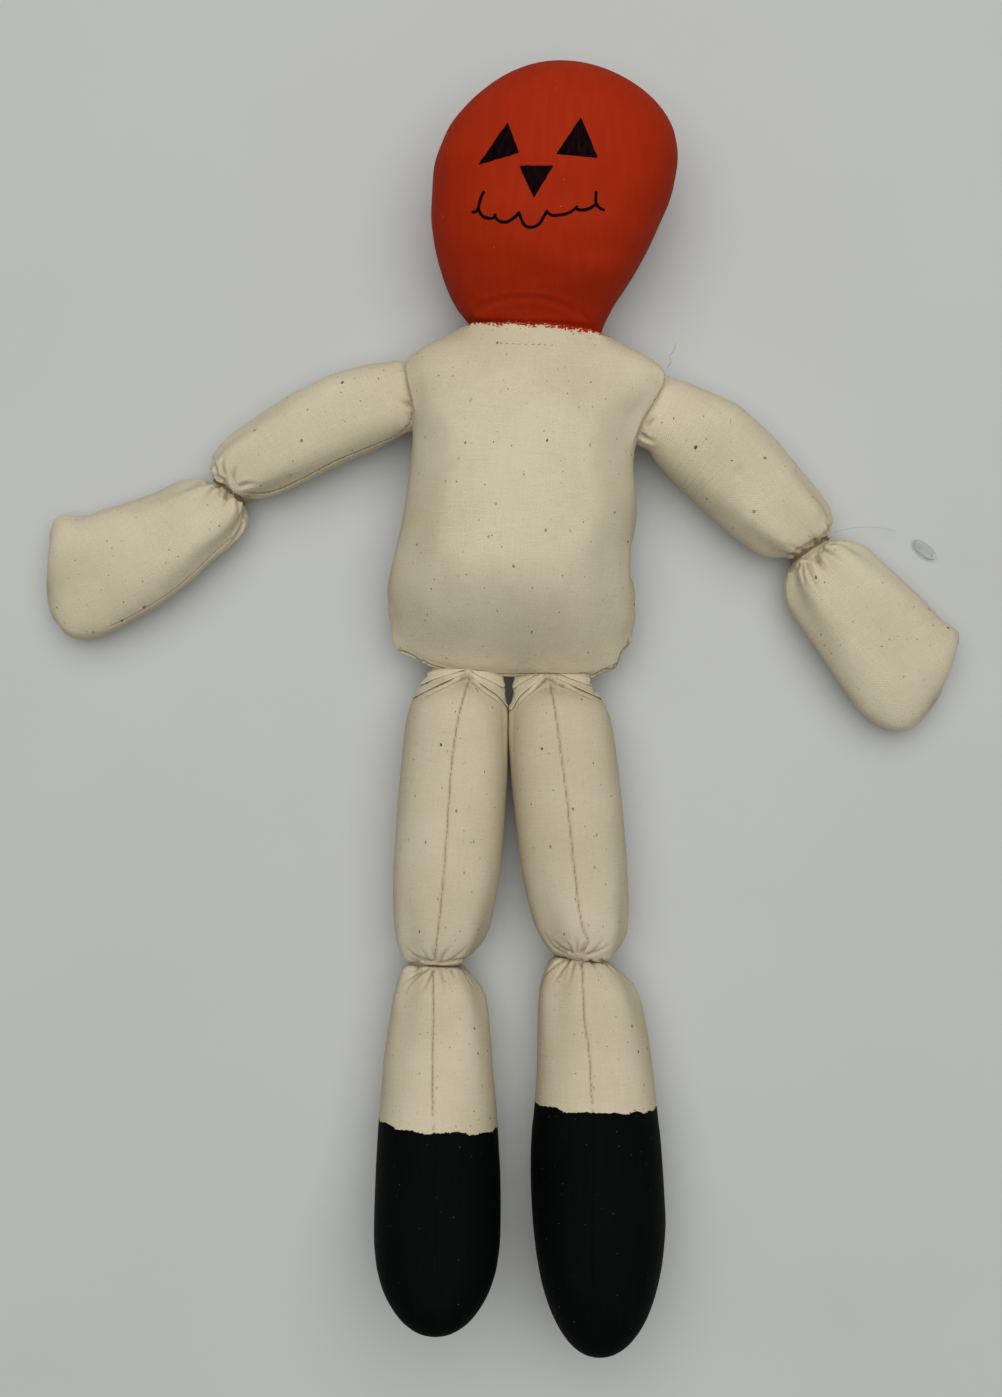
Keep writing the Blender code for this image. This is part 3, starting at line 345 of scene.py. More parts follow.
@dataclass(frozen=True)
class PaintedCloth:
    """Craft acrylic brushed on calico: matte, filling the weave, with a ragged brushed edge.

    The paint lies ahead of a line in plan, which is given by a point and a heading. wobble is
    how far its edge wanders, and dryness how much the brush skips there.
    """

    name: str
    paint: str
    thin: str
    edge: Pixel
    edge_height: float
    heading: float
    wobble: float
    dryness: float
    roughness: float
    dust: str
    dust_share: float
    calico: Calico = field(default_factory=Calico)

    def make(self) -> bpy.types.Material:
        """Build the material."""
        finish = Finish(self.name)
        bare, height = self.calico.colour(finish)
        place = finish.object_place
        start = VIEW.level(self.edge, self.edge_height)
        ahead = compass(self.heading)
        reach = finish.add("VectorMath", place, tuple(ahead), operation="DOT_PRODUCT", out="Value")
        wander = finish.add("TexNoise", at={"Vector": place, "Scale": 160.0, "Detail": 3.0})
        fine = finish.add("TexNoise", at={"Vector": place, "Scale": 1100.0, "Detail": 2.0})
        reach = finish.add("Math", wander, self.wobble, reach, operation="MULTIPLY_ADD")
        reach = finish.add("Math", fine, self.dryness, reach, operation="MULTIPLY_ADD")
        line = float(np.dot(start, ahead)) + (self.wobble + self.dryness) / 2
        painted = finish.add("MapRange", reach, line, line + 0.15 * MM)
        coat = self.coat(finish, height)
        colour = finish.add("Mix", at={0: painted, 6: bare, 7: coat}, out=2, data_type="RGBA")
        rough = finish.add("MapRange", painted, at={3: 0.92, 4: self.roughness})
        normal = finish.add(
            "Bump", at={"Strength": 0.6, "Distance": self.calico.weave.relief, "Height": height}
        )
        finish.set(Base_Color=colour, Roughness=rough, Normal=normal)
        return finish.set(Specular_IOR_Level=0.06)

    def coat(self, finish: Finish, height: bpy.types.NodeSocket) -> bpy.types.NodeSocket:
        """Colour of the coat: brushed, thinner on the weave's tops, darkened in cracks with dirt and painted
        shade, a bit dusty.

        Args:
            finish: The material to add nodes to.
            height: The weave's height.

        Returns:
            The coat's colour.
        """
        place = finish.object_place
        brushed = finish.add("Mapping", place, at={"Scale": (420.0, 60.0, 200.0)})
        stroke = finish.add("TexNoise", at={"Vector": brushed, "Scale": 1.0, "Detail": 3.0})
        cloud = finish.add("TexNoise", at={"Vector": place, "Scale": 45.0, "Detail": 2.0})
        uneven = finish.add("Math", stroke, cloud, operation="ADD")
        share = finish.add("MapRange", uneven, 0.8, 1.3, 0.0, 0.45, interpolation_type="SMOOTHSTEP")
        coat = finish.add("Mix", at={0: share, 6: self.paint, 7: self.thin}, out=2, data_type="RGBA")
        tops = finish.add("MapRange", height, 0.3, 1.0, 0.0, 0.2)
        coat = finish.add("Mix", at={0: tops, 6: coat, 7: self.thin}, out=2, data_type="RGBA")
        grain = finish.add("TexCoord", out="UV")
        net = finish.add(
            "TexVoronoi", at={"Vector": grain, "Scale": 22.0}, out=0, voronoi_dimensions="2D"
        )
        pick = [finish.add("SeparateColor", net.node.outputs["Color"], out=i) for i in range(3)]
        size = finish.add("Math", pick[1], 0.06, operation="MULTIPLY")
        close = finish.add("Math", net, size, operation="LESS_THAN")
        chosen = finish.add("Math", pick[0], self.dust_share, operation="LESS_THAN")
        speck = finish.add("Math", close, chosen, operation="MULTIPLY")
        faint = finish.add("Math", speck, 0.45, operation="MULTIPLY")
        coat = finish.add("Mix", at={0: faint, 6: coat, 7: self.dust}, out=2, data_type="RGBA")
        # Darken the paint in creases, near to black: dirt and painted shade.
        crease = finish.add("Attribute", out="Fac", attribute_name="crease")
        crack = finish.add("Math", crease, 0.6, operation="MULTIPLY")
        return finish.add("Mix", at={0: crack, 6: coat, 7: "140605"}, out=2, data_type="RGBA")


@dataclass(frozen=True)
class MarkerInk:
    """Felt marker on paint: brown-black, streaky where the nib ran out."""

    name: str = "felt_marker_ink"
    ink: str = "0b0406"
    worn: str = "1f0b0c"

    def make(self) -> bpy.types.Material:
        """Build the material."""
        finish = Finish(self.name)
        drawn = finish.add("Mapping", finish.object_place, at={"Scale": (900.0, 240.0, 400.0)})
        stroke = finish.add("TexNoise", at={"Vector": drawn, "Scale": 1.0, "Detail": 2.0})
        share = finish.add("MapRange", stroke, 0.45, 0.75)
        colour = finish.add("Mix", at={0: share, 6: self.ink, 7: self.worn}, out=2, data_type="RGBA")
        bump = finish.add("Bump", at={"Strength": 0.4, "Distance": 0.04 * MM, "Height": stroke})
        finish.set(Base_Color=colour, Normal=bump)
        return finish.set(Roughness=0.7, Specular_IOR_Level=0.02)


@dataclass(frozen=True)
class CottonThread:
    """Cotton sewing thread: matte fibres, a little darker between its strands."""

    name: str = "cotton_thread"
    fibre: str = "a8946a"
    dark: str = "66522f"

    def make(self) -> bpy.types.Material:
        """Build the material."""
        finish = Finish(self.name)
        fuzz = finish.add("TexNoise", at={"Vector": finish.object_place, "Scale": 2600.0, "Detail": 2.0})
        share = finish.add("MapRange", fuzz, 0.35, 0.65)
        colour = finish.add("Mix", at={0: share, 6: self.dark, 7: self.fibre}, out=2, data_type="RGBA")
        bump = finish.add("Bump", at={"Strength": 0.5, "Distance": 0.08 * MM, "Height": fuzz})
        finish.set(Base_Color=colour, Normal=bump)
        return finish.set(Roughness=0.88, Specular_IOR_Level=0.25)


@dataclass(frozen=True)
class ClearPlastic:
    """Moulded polypropylene: colourless, faintly milky, with a soft gloss."""

    name: str = "clear_polypropylene"
    tint: str = "eceeec"
    milk: str = "e0e2e0"

    def make(self) -> bpy.types.Material:
        """Build the material."""
        finish = Finish(self.name)
        flow = finish.add("TexNoise", at={"Vector": finish.object_place, "Scale": 500.0, "Detail": 1.0})
        milky = finish.add("Mix", at={0: flow, 6: self.tint, 7: self.milk}, out=2, data_type="RGBA")
        bump = finish.add("Bump", at={"Strength": 0.2, "Distance": 0.05 * MM, "Height": flow})
        finish.set(Base_Color=milky, Normal=bump)
        return finish.set(Roughness=0.2, IOR=1.49, Transmission_Weight=0.93)


@dataclass(frozen=True)
class TableTop:
    """Pale grey laminate: matte, with a faint cloudiness."""

    name: str = "table_top"
    pale: str = "bfc1be"
    grey: str = "b7b9b6"

    def make(self) -> bpy.types.Material:
        """Build the material."""
        finish = Finish(self.name)
        cloud = finish.add("TexNoise", at={"Vector": finish.object_place, "Scale": 9.0, "Detail": 4.0})
        colour = finish.add("Mix", at={0: cloud, 6: self.pale, 7: self.grey}, out=2, data_type="RGBA")
        finish.set(Base_Color=colour)
        return finish.set(Roughness=0.6)


@dataclass(frozen=True)
class Crease:
    """A crack along a line on the cloth, in metres, or a ridge where its depth is negative."""

    path: np.ndarray
    depth: float
    width: float
    # How dark the crack is: dirt together with painted shade.
    soil_and_shade: float = 0.3
    lip: float = 0.3
    taper_in: float = 0.15
    taper_out: float = 0.5
    step: float = 0.0
    step_reach: float = 3.0 * MM


@dataclass(frozen=True)
class Fold:
    """A crease read off the photograph.

    Its sizes are in millimetres. Its darkness is dirt and painted shade in the crack. lip is how
    much the cloth beside it rises, as a share of the depth, and the tapers the shares of its
    length where it fades. Where one side lies over the other, step is how much higher it is: the
    left of the line's run where it is above 0, and otherwise the right.
    """

    line: tuple[Pixel, ...]
    depth: float
    width: float
    soil_and_shade: float = 0.3
    lip: float = 0.3
    taper_in: float = 0.15
    taper_out: float = 0.5
    step: float = 0.0
    step_reach: float = 3.0

    def on(self, tree: BVHTree) -> Crease:
        """Lay the fold on a skin."""
        path = np.array([VIEW.drop(point, tree) for point in smooth_line(self.line, 3.0)])
        return Crease(
            path, self.depth * MM, self.width * MM, self.soil_and_shade, self.lip, self.taper_in,
            self.taper_out, self.step * MM, self.step_reach * MM,
        )


def seam(*line: Pixel, depth: float = 0.45, width: float = 0.6, soil_and_shade: float = 0.6) -> Fold:
    """A sewn seam: an even narrow crease from end to end, darkened with dirt and painted shade."""
    return Fold(line, depth, width, soil_and_shade, 0.35, 0.02, 0.02)


def smooth_line(points: Sequence[Sequence[float]], step: float) -> np.ndarray:
    """A smooth line through points, as closer points.

    Args:
        points: The line's own points.
        step: The space between the points given back.

    Returns:
        The points, one a row.
    """
    knots = np.array(points, float)
    ends = (2 * knots[0] - knots[1], 2 * knots[-1] - knots[-2])
    padded = np.vstack([ends[0], knots, ends[1]])
    made = []
    for a, b, c, d in zip(padded, padded[1:], padded[2:], padded[3:]):
        count = max(1, round(float(np.linalg.norm(c - b)) / step))
        t = np.arange(count)[:, None] / count
        made.append(
            0.5 * (2 * b + (c - a) * t + (2 * a - 5 * b + 4 * c - d) * t ** 2
                   + (3 * b - a - 3 * c + d) * t ** 3)
        )
    return np.vstack([*made, knots[-1]])


def nearest_on_path(
    points: np.ndarray, path: np.ndarray
) -> tuple[np.ndarray, np.ndarray, np.ndarray]:
    """Find each point's nearest place on a line.

    Args:
        points: The points, one a row.
        path: The line's own points, one a row.

    Returns:
        Distances in metres, the number of the nearest length of the line, and the share of
        that length which lies before the nearest place.
    """
    best = np.full(len(points), np.inf)
    number, share = np.zeros(len(points), int), np.zeros(len(points))
    for index, (start, end) in enumerate(zip(path[:-1], path[1:])):
        step = end - start
        t = np.clip(((points - start) @ step) / max(step @ step, 1e-14), 0.0, 1.0)
        away = np.linalg.norm(points - start - t[:, None] * step, axis=1)
        closer = away < best
        best[closer], number[closer], share[closer] = away[closer], index, t[closer]
    return best, number, share


def distance_to_path(
    points: np.ndarray, path: np.ndarray
) -> tuple[np.ndarray, np.ndarray, np.ndarray]:
    """How far points lie from a line, and where along it each one's nearest place is.

    Args:
        points: The points, one a row.
        path: The line's own points, one a row.

    Returns:
        Distances in metres, shares of the line's length from 0 to 1, and which side of its run
        in plan each point is on: above 0 on the left.
    """
    best, number, t = nearest_on_path(points, path)
    lengths = np.linalg.norm(np.diff(path, axis=0), axis=1)
    before = np.cumsum(lengths) - lengths
    share = (before[number] + t * lengths[number]) / max(lengths.sum(), 1e-9)
    step, off = np.diff(path, axis=0)[number], points - path[number]
    return best, share, step[:, 0] * off[:, 1] - step[:, 1] * off[:, 0]


def solid_tree(node: bpy.types.Object) -> BVHTree:
    """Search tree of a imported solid, whose mesh is in place."""
    mesh = node.data
    return BVHTree.FromPolygons(
        [v.co.copy() for v in mesh.vertices], [tuple(p.vertices) for p in mesh.polygons]
    )


def mesh_object(name: str, mesh: bmesh.types.BMesh, material: bpy.types.Material) -> bpy.types.Object:
    """Turn a bmesh into a smooth object of the scene.

    Args:
        name: The piece's name.
        mesh: Its shape, in metres, which this frees.
        material: Its finish.

    Returns:
        The object, at the origin.
    """
    data = bpy.data.meshes.new(name)
    mesh.to_mesh(data)
    mesh.free()
    data.materials.append(material)
    data.shade_smooth()
    made = bpy.data.objects.new(name, data)
    bpy.context.scene.collection.objects.link(made)
    return made


def bake(piece: bpy.types.Object) -> None:
    """Make a piece's evaluated shape its own mesh, with no modifier left on it."""
    graph = bpy.context.evaluated_depsgraph_get()
    baked = bpy.data.meshes.new_from_object(piece.evaluated_get(graph))
    old = piece.data
    piece.modifiers.clear()
    piece.data = baked
    bpy.data.meshes.remove(old)


class ClothSkin:
    """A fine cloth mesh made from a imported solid, and the ways to fold it."""

    LIFT = 0.04 * MM
    SOLVER_SCALE = 10.0
    SOLVER_FRAMES = 15
    PRESSURE = 4.0
    BULGE_REACH = 24 * MM
    BULGE_MOST = 3.2 * MM

    def __init__(self, node: bpy.types.Object, name: str, voxel: float) -> None:
        """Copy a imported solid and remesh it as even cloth.

        Args:
            node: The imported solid's object.
            name: The new piece's name.
            voxel: Spacing of the cloth's points before they are divided once, in metres.
        """
        data = bpy.data.meshes.new(name)
        mesh = bmesh.new()
        mesh.from_mesh(node.data)
        bmesh.ops.remove_doubles(mesh, verts=mesh.verts[:], dist=0.002 * MM)
        bmesh.ops.recalc_face_normals(mesh, faces=mesh.faces[:])
        mesh.to_mesh(data)
        mesh.free()
        self.object = bpy.data.objects.new(name, data)
        bpy.context.scene.collection.objects.link(self.object)
        remesh = self.object.modifiers.new("even_cloth", "REMESH")
        remesh.mode = "VOXEL"
        remesh.voxel_size = voxel
        bake(self.object)
        # Darkness of the creases at each point: dirt together with painted shade.
        self.soil_and_shade = np.zeros(0)

    def points(self) -> np.ndarray:
        """Places of the skin's points, in metres."""
        flat = np.empty(len(self.object.data.vertices) * 3)
        self.object.data.vertices.foreach_get("co", flat)
        return flat.reshape(-1, 3)

    def normals(self) -> np.ndarray:
        """Unit normals at the skin's points."""
        flat = np.empty(len(self.object.data.vertices) * 3)
        self.object.data.vertices.foreach_get("normal", flat)
        return flat.reshape(-1, 3)

    def place(self, points: np.ndarray) -> None:
        """Move the skin's points, none of them below the table."""
        points[:, 2] = np.maximum(points[:, 2], self.LIFT)
        self.object.data.vertices.foreach_set("co", points.ravel())
        self.object.data.update()

    def relax(self, rounds: int, share: np.ndarray | float = 1.0) -> None:
        """Smooth the skin, and give back what its wide forms lost in that.

        Args:
            rounds: How many times each point goes halfway to the middle of its neighbours.
            share: How much of the change the points take.
        """
        mesh, points = self.object.data, self.points()
        ends = np.empty(len(mesh.edges) * 2, int)
        mesh.edges.foreach_get("vertices", ends)
        first, last = ends.reshape(-1, 2).T
        both, others = np.concatenate([first, last]), np.concatenate([last, first])
        count = np.bincount(both, minlength=len(points))

        def smooth(places: np.ndarray) -> np.ndarray:
            """Move each place halfway to the middle of its neighbours, several times."""
            for _ in range(rounds):
                means = [np.bincount(both, places[others, axis], len(points)) / count for axis in range(3)]
                places = (places + np.stack(means, axis=1)) / 2
            return places

        smoothed = smooth(points)
        self.place(points + (smoothed + smooth(points - smoothed) - points) * share)

    def tree(self) -> BVHTree:
        """Search tree of the skin's faces."""
        return solid_tree(self.object)

    def swell(
        self, held: np.ndarray, growth: float, cap: float, ties: Sequence["Gathers"] = ()
    ) -> None:
        """Fill the cloth out with its stuffing, by a short cloth simulation under pressure.

        The cloth also grows a little, so that it puckers where it is held. The simulation works
        on a copy ten times the size, because the solver is tuned for larger things.

        Args:
            held: For each point, whether a thread or a seam holds it.
            growth: How much the cloth grows, as a share.
            cap: The furthest that a point may move, in metres.
            ties: Threads that the cloth may bulge towards, further than that.
        """
        before, scale = self.points(), self.SOLVER_SCALE
        grip = self.object.vertex_groups.new(name="held")
        grip.add([int(index) for index in np.nonzero(held)[0]], 1.0, "REPLACE")
        self.object.data.vertices.foreach_set("co", (before * scale).ravel())
        cloth = self.object.modifiers.new("stuffing", "CLOTH").settings
        cloth.quality = 4
        cloth.use_pressure = True
        cloth.uniform_pressure_force = self.PRESSURE
        cloth.effector_weights.gravity = 0.0
        cloth.vertex_group_mass = grip.name
        cloth.shrink_min = -growth
        for frame in range(1, self.SOLVER_FRAMES + 1):
            bpy.context.scene.frame_set(frame)
        bake(self.object)
        bpy.context.scene.frame_set(1)
        self.object.vertex_groups.clear()
        moved = self.points() / scale - before
        bulge = np.zeros_like(moved)
        for tie in ties:
            ahead = compass(tie.heading)
            along = (before - tie.centre) @ ahead
            near = ease(1.0 - along / self.BULGE_REACH) * (along > 0) * tie.over(before)
            most = np.minimum(self.BULGE_MOST, 0.8 * np.abs(along))
            run = np.clip(moved @ ahead, -most, 0.0) * near
            bulge += run[:, None] * ahead
        moved -= bulge
        far = np.linalg.norm(moved, axis=1)
        self.place(before + bulge + moved * np.minimum(1.0, cap / np.maximum(far, 1e-9))[:, None])

    def tuck(self, neighbour: BVHTree, reach: float, sink: float, part: float = 1.0) -> None:
        """Draw the edge that is sewn to a neighbour into the seam.

        Args:
            neighbour: The neighbour's surface.
            reach: How near to it a point is drawn in, in metres.
            sink: How far past its surface the nearest points go, in metres.
            part: How much of the way they go.
        """
        points = self.points()
        for index, point in enumerate(points):
            near, _, _, away = neighbour.find_nearest(Vector(point), reach)
            if near is None or away < 1e-6:
                continue
            share = float(ease(np.array(2.0 * (1.0 - away / reach))))
            points[index] += (np.array(near) - point) / away * max(away + sink, 0.0) * share * part
        self.place(points)

    def taper(self, path: np.ndarray, reach: float, thin: float) -> None:
        """Thin the stuffed cloth down towards a seam at its edge.

        Args:
            path: The seam, one point a row.
            reach: How far in plan from the seam the cloth gets thinner, in metres.
            thin: What is left of its thickness at the seam, as a share.
        """
        points, in_plan = self.points(), np.array((1.0, 1.0, 0.0))
        best, number, t = nearest_on_path(points * in_plan, path * in_plan)
        height = path[number, 2] + t * (path[number + 1, 2] - path[number, 2])
        kept = thin + (1.0 - thin) * (ease(best / reach) + np.clip(best / reach, 0.0, 1.0)) / 2
        points[:, 2] = np.where(best < reach, height + (points[:, 2] - height) * kept, points[:, 2])
        self.place(points)

    def level(self, base: float, profile: tuple[tuple[float, float], ...]) -> None:
        """Flatten or fill the skin's upper side, by a share that changes along Y.

        Args:
            base: The height over which it is changed, in millimetres.
            profile: Places along Y in millimetres, each with the share of the height kept.
        """
        points = self.points()
        share = np.interp(points[:, 1] / MM, *zip(*profile))
        over = np.maximum(points[:, 2] - base * MM, 0.0)
        points[:, 2] += over * (share - 1.0)
        self.place(points)

    def pinch(self, path: np.ndarray, reach: float, pull: float) -> None:
        """Draw the skin into a crest along a seam.

        Args:
            path: The seam, one point a row.
            reach: How near to it the skin is drawn in, in metres.
            pull: How much of the way the nearest points go.
        """
        points = self.points()
        low, high = path.min(0) - reach, path.max(0) + reach
        near = np.nonzero(np.all((points > low) & (points < high), axis=1))[0]
        best, number, t = nearest_on_path(points[near], path)
        target = path[number] + t[:, None] * (path[number + 1] - path[number])
        share = pull * np.clip(1.0 - best / reach, 0.0, 1.0) ** 1.5
        points[near] += (target - points[near]) * share[:, None]
        self.place(points)

    def hang_over(self, centre: np.ndarray, heading: float, inner: float, reach: float, lean: float) -> None:
        """Let the stuffed cloth bulge over a thread that is drawn tight round it.

        Args:
            centre: The middle of the thread's turns.
            heading: The way that the limb runs there, in degrees.
            inner: The thread's radius, in metres.
            reach: How far along the limb the bulge goes, in metres.
            lean: How far the fullest cloth leans towards the thread, in metres.
        """
        points, ahead = self.points(), compass(heading)
        along = (points - centre) @ ahead
        out = np.linalg.norm(points - centre - along[:, None] * ahead, axis=1)
        steep = np.abs(points[:, 2] - centre[2]) / np.maximum(out, 1e-9)
        full = ease((out - inner) / (0.3 * inner)) * ease(1.0 - np.abs(along) / reach)
        full *= ease(steep / 0.85) * ease(1.0 - (out - inner - 3 * MM) / (12 * MM))
        shift = -np.sign(along) * np.minimum(lean * full, 0.9 * full * np.abs(along))
        self.place(points + shift[:, None] * ahead)

    def refine(self) -> None:
        """Divide every face in four, rounded."""
        divide = self.object.modifiers.new("finer", "SUBSURF")
        divide.levels = divide.render_levels = 1
        bake(self.object)
        self.soil_and_shade = np.zeros(len(self.object.data.vertices))

    def press(self, creases: Sequence[Crease]) -> None:
        """Press creases into the skin, and darken them with dirt and painted shade."""
        points, normals = self.points(), self.normals()
        deep, rim, shift = (np.zeros(len(points)) for _ in range(3))
        for crease in creases:
            reach = max(crease.width * 4, crease.step_reach * 2.5 if crease.step else 0.0)
            low, high = crease.path.min(0) - reach, crease.path.max(0) + reach
            near = np.nonzero(np.all((points > low) & (points < high), axis=1))[0]
            if not len(near):
                continue
            away, share, side = distance_to_path(points[near], crease.path)
            fade = ease(share / crease.taper_in) * ease((1.0 - share) / crease.taper_out)
            x = away / crease.width
            deep[near] = np.maximum(deep[near], crease.depth * np.exp(-(x ** 1.6)) * fade)
            raised = crease.depth * crease.lip * np.exp(-((x - 1.7) ** 2) * 1.6) * fade
            rim[near] = np.maximum(rim[near], raised)
            if crease.step:
                over = np.sign(side) * math.copysign(1.0, crease.step) > 0
                rise = abs(crease.step) * np.exp(-((away / crease.step_reach) ** 1.5)) * fade
                shift[near] -= np.where(over, rise, -0.5 * rise)
            # Darken the crack: dirt together with painted shade.
            dark = crease.soil_and_shade * np.exp(-((x / 0.55) ** 2)) * fade
            self.soil_and_shade[near] = np.maximum(self.soil_and_shade[near], dark)
        self.place(points - normals * (shift + deep - rim)[:, None])

    def lump(self, size: float, height: float, seed: float) -> None:
        """Make the stuffing's slow lumps and hollows.

        Args:
            size: How far apart they lie, in metres.
            height: How far they rise and sink, in metres.
            seed: Shifts the pattern.
        """
        points, normals = self.points(), self.normals()
        offset = Vector((seed, seed * 0.37, 0.0))
        lumps = np.array([noise.noise(Vector(point) / size + offset) for point in points])
        self.place(points + normals * (lumps * height)[:, None])

    def run_grain(self, spine: np.ndarray, radius: float) -> None:
        """Keep the creases' darkness, dirt with painted shade, and a UV map that runs round and along the
        skin.

        Args:
            spine: The skin's middle line, one point a row.
            radius: How thick the skin is about it, in metres.
        """
        points, mesh = self.points(), self.object.data
        spine = smooth_line(spine, 3.0 * MM)
        # The crease attribute carries the creases' dirt and painted shade to the materials.
        attribute = mesh.attributes.new("crease", "FLOAT", "POINT")
        attribute.data.foreach_set("value", np.clip(self.soil_and_shade, 0.0, 1.0).astype(np.float32))
        along, turn = np.zeros(len(points)), np.zeros(len(points))
        best, run = np.full(len(points), np.inf), 0.0
        for index, (start, end) in enumerate(zip(spine[:-1], spine[1:])):
            length = float(np.linalg.norm(end - start))
            ahead = (end - start) / length
            reach = (points - start) @ ahead
            low = -np.inf if index == 0 else 0.0
            high = np.inf if index == len(spine) - 2 else length
            foot = start + np.clip(reach, low, high)[:, None] * ahead
            away = np.linalg.norm(points - foot, axis=1)
            closer = away < best
            side = (points - foot) @ np.array((-ahead[1], ahead[0], 0.0))
            best[closer] = away[closer]
            along[closer] = (run + np.clip(reach, low, high))[closer]
            turn[closer] = np.arctan2(side, points[:, 2] - foot[:, 2])[closer]
            run += length
        corners = np.empty(len(mesh.loops), int)
        mesh.loops.foreach_get("vertex_index", corners)
        around = (turn * radius)[corners].reshape(-1, 4)
        once = math.tau * radius
        crossing = (around.max(1) - around.min(1)) > once / 2
        around = np.where(crossing[:, None] & (around < 0), around + once, around)
        uv = np.stack([around.ravel(), along[corners]], axis=1) / (Weave.map_unit * MM)
        layer = mesh.uv_layers.new(name="grain")
        layer.data.foreach_set("uv", uv.ravel().astype(np.float32))

    def dress(self, node: str, material: bpy.types.Material) -> None:
        """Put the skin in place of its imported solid, with its finish."""
        self.object.data.materials.clear()
        self.object.data.materials.append(material)
        self.object.data.shade_smooth()
        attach(self.object, BODY)
        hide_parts(node)


@dataclass(frozen=True)
class Gathers:
    """Cloth gathered into a tie: short creases that fan out from a thread, all the way round.

    centre is where the thread is, heading the way that the cloth leaves it in plan, and
    spread how much wider the fan is at its far end. Lengths are in metres.
    """

    centre: np.ndarray
    heading: float
    half_width: float
    half_height: float
    count: int
    length: float
    depth: float
    spread: float
    seed: int
    front_clear: float = 0.35

    def over(self, points: np.ndarray) -> np.ndarray:
        """How far points lie over or under the tie and not beside it, from 0 to 1."""
        ahead = compass(self.heading)
        off = points - self.centre
        off -= (off @ ahead)[:, None] * ahead
        steep = np.abs(off[:, 2]) / np.maximum(np.linalg.norm(off, axis=1), 1e-9)
        return ease(steep / 0.85)

    def creases(self, tree: BVHTree) -> list[Crease]:
        """Lay the gathers on a skin."""
        draw = random.Random(self.seed)
        ahead, up = compass(self.heading), np.array((0.0, 0.0, 1.0))
        across = np.array((-ahead[1], ahead[0], 0.0))
        made = []
        for index in range(self.count):
            turn = math.tau * (index + draw.uniform(-0.32, 0.32)) / self.count
            if math.sin(turn) > self.front_clear:
                continue
            lean = draw.uniform(-0.12, 0.12)
            length = self.length * draw.choice((0.35, 0.5, 0.7, 1.0))
            path = []
            for step in range(9):
                share = step / 8
                wide = 1.0 + self.spread * share
                angle = turn + lean * share
                aim = self.centre + ahead * length * share
                side = (
                    across * (math.cos(angle) * self.half_width * wide)
                    + up * (math.sin(angle) * self.half_height * wide)
                )
                start = Vector(aim + side * 6.0)
                hit = tree.ray_cast(start, -Vector(side).normalized())[0]
                if hit is not None:
                    path.append(tuple(hit))
            if len(path) < 3:
                continue
            depth = self.depth * draw.uniform(0.55, 1.0) * (0.6 + 0.4 * length / self.length)
            width = draw.uniform(0.75, 1.25) * MM
            # Each gather's crack is darkened with dirt and painted shade.
            made.append(Crease(np.array(path), depth, width, draw.uniform(0.25, 0.6), 0.5, 0.02, 0.9))
        return made


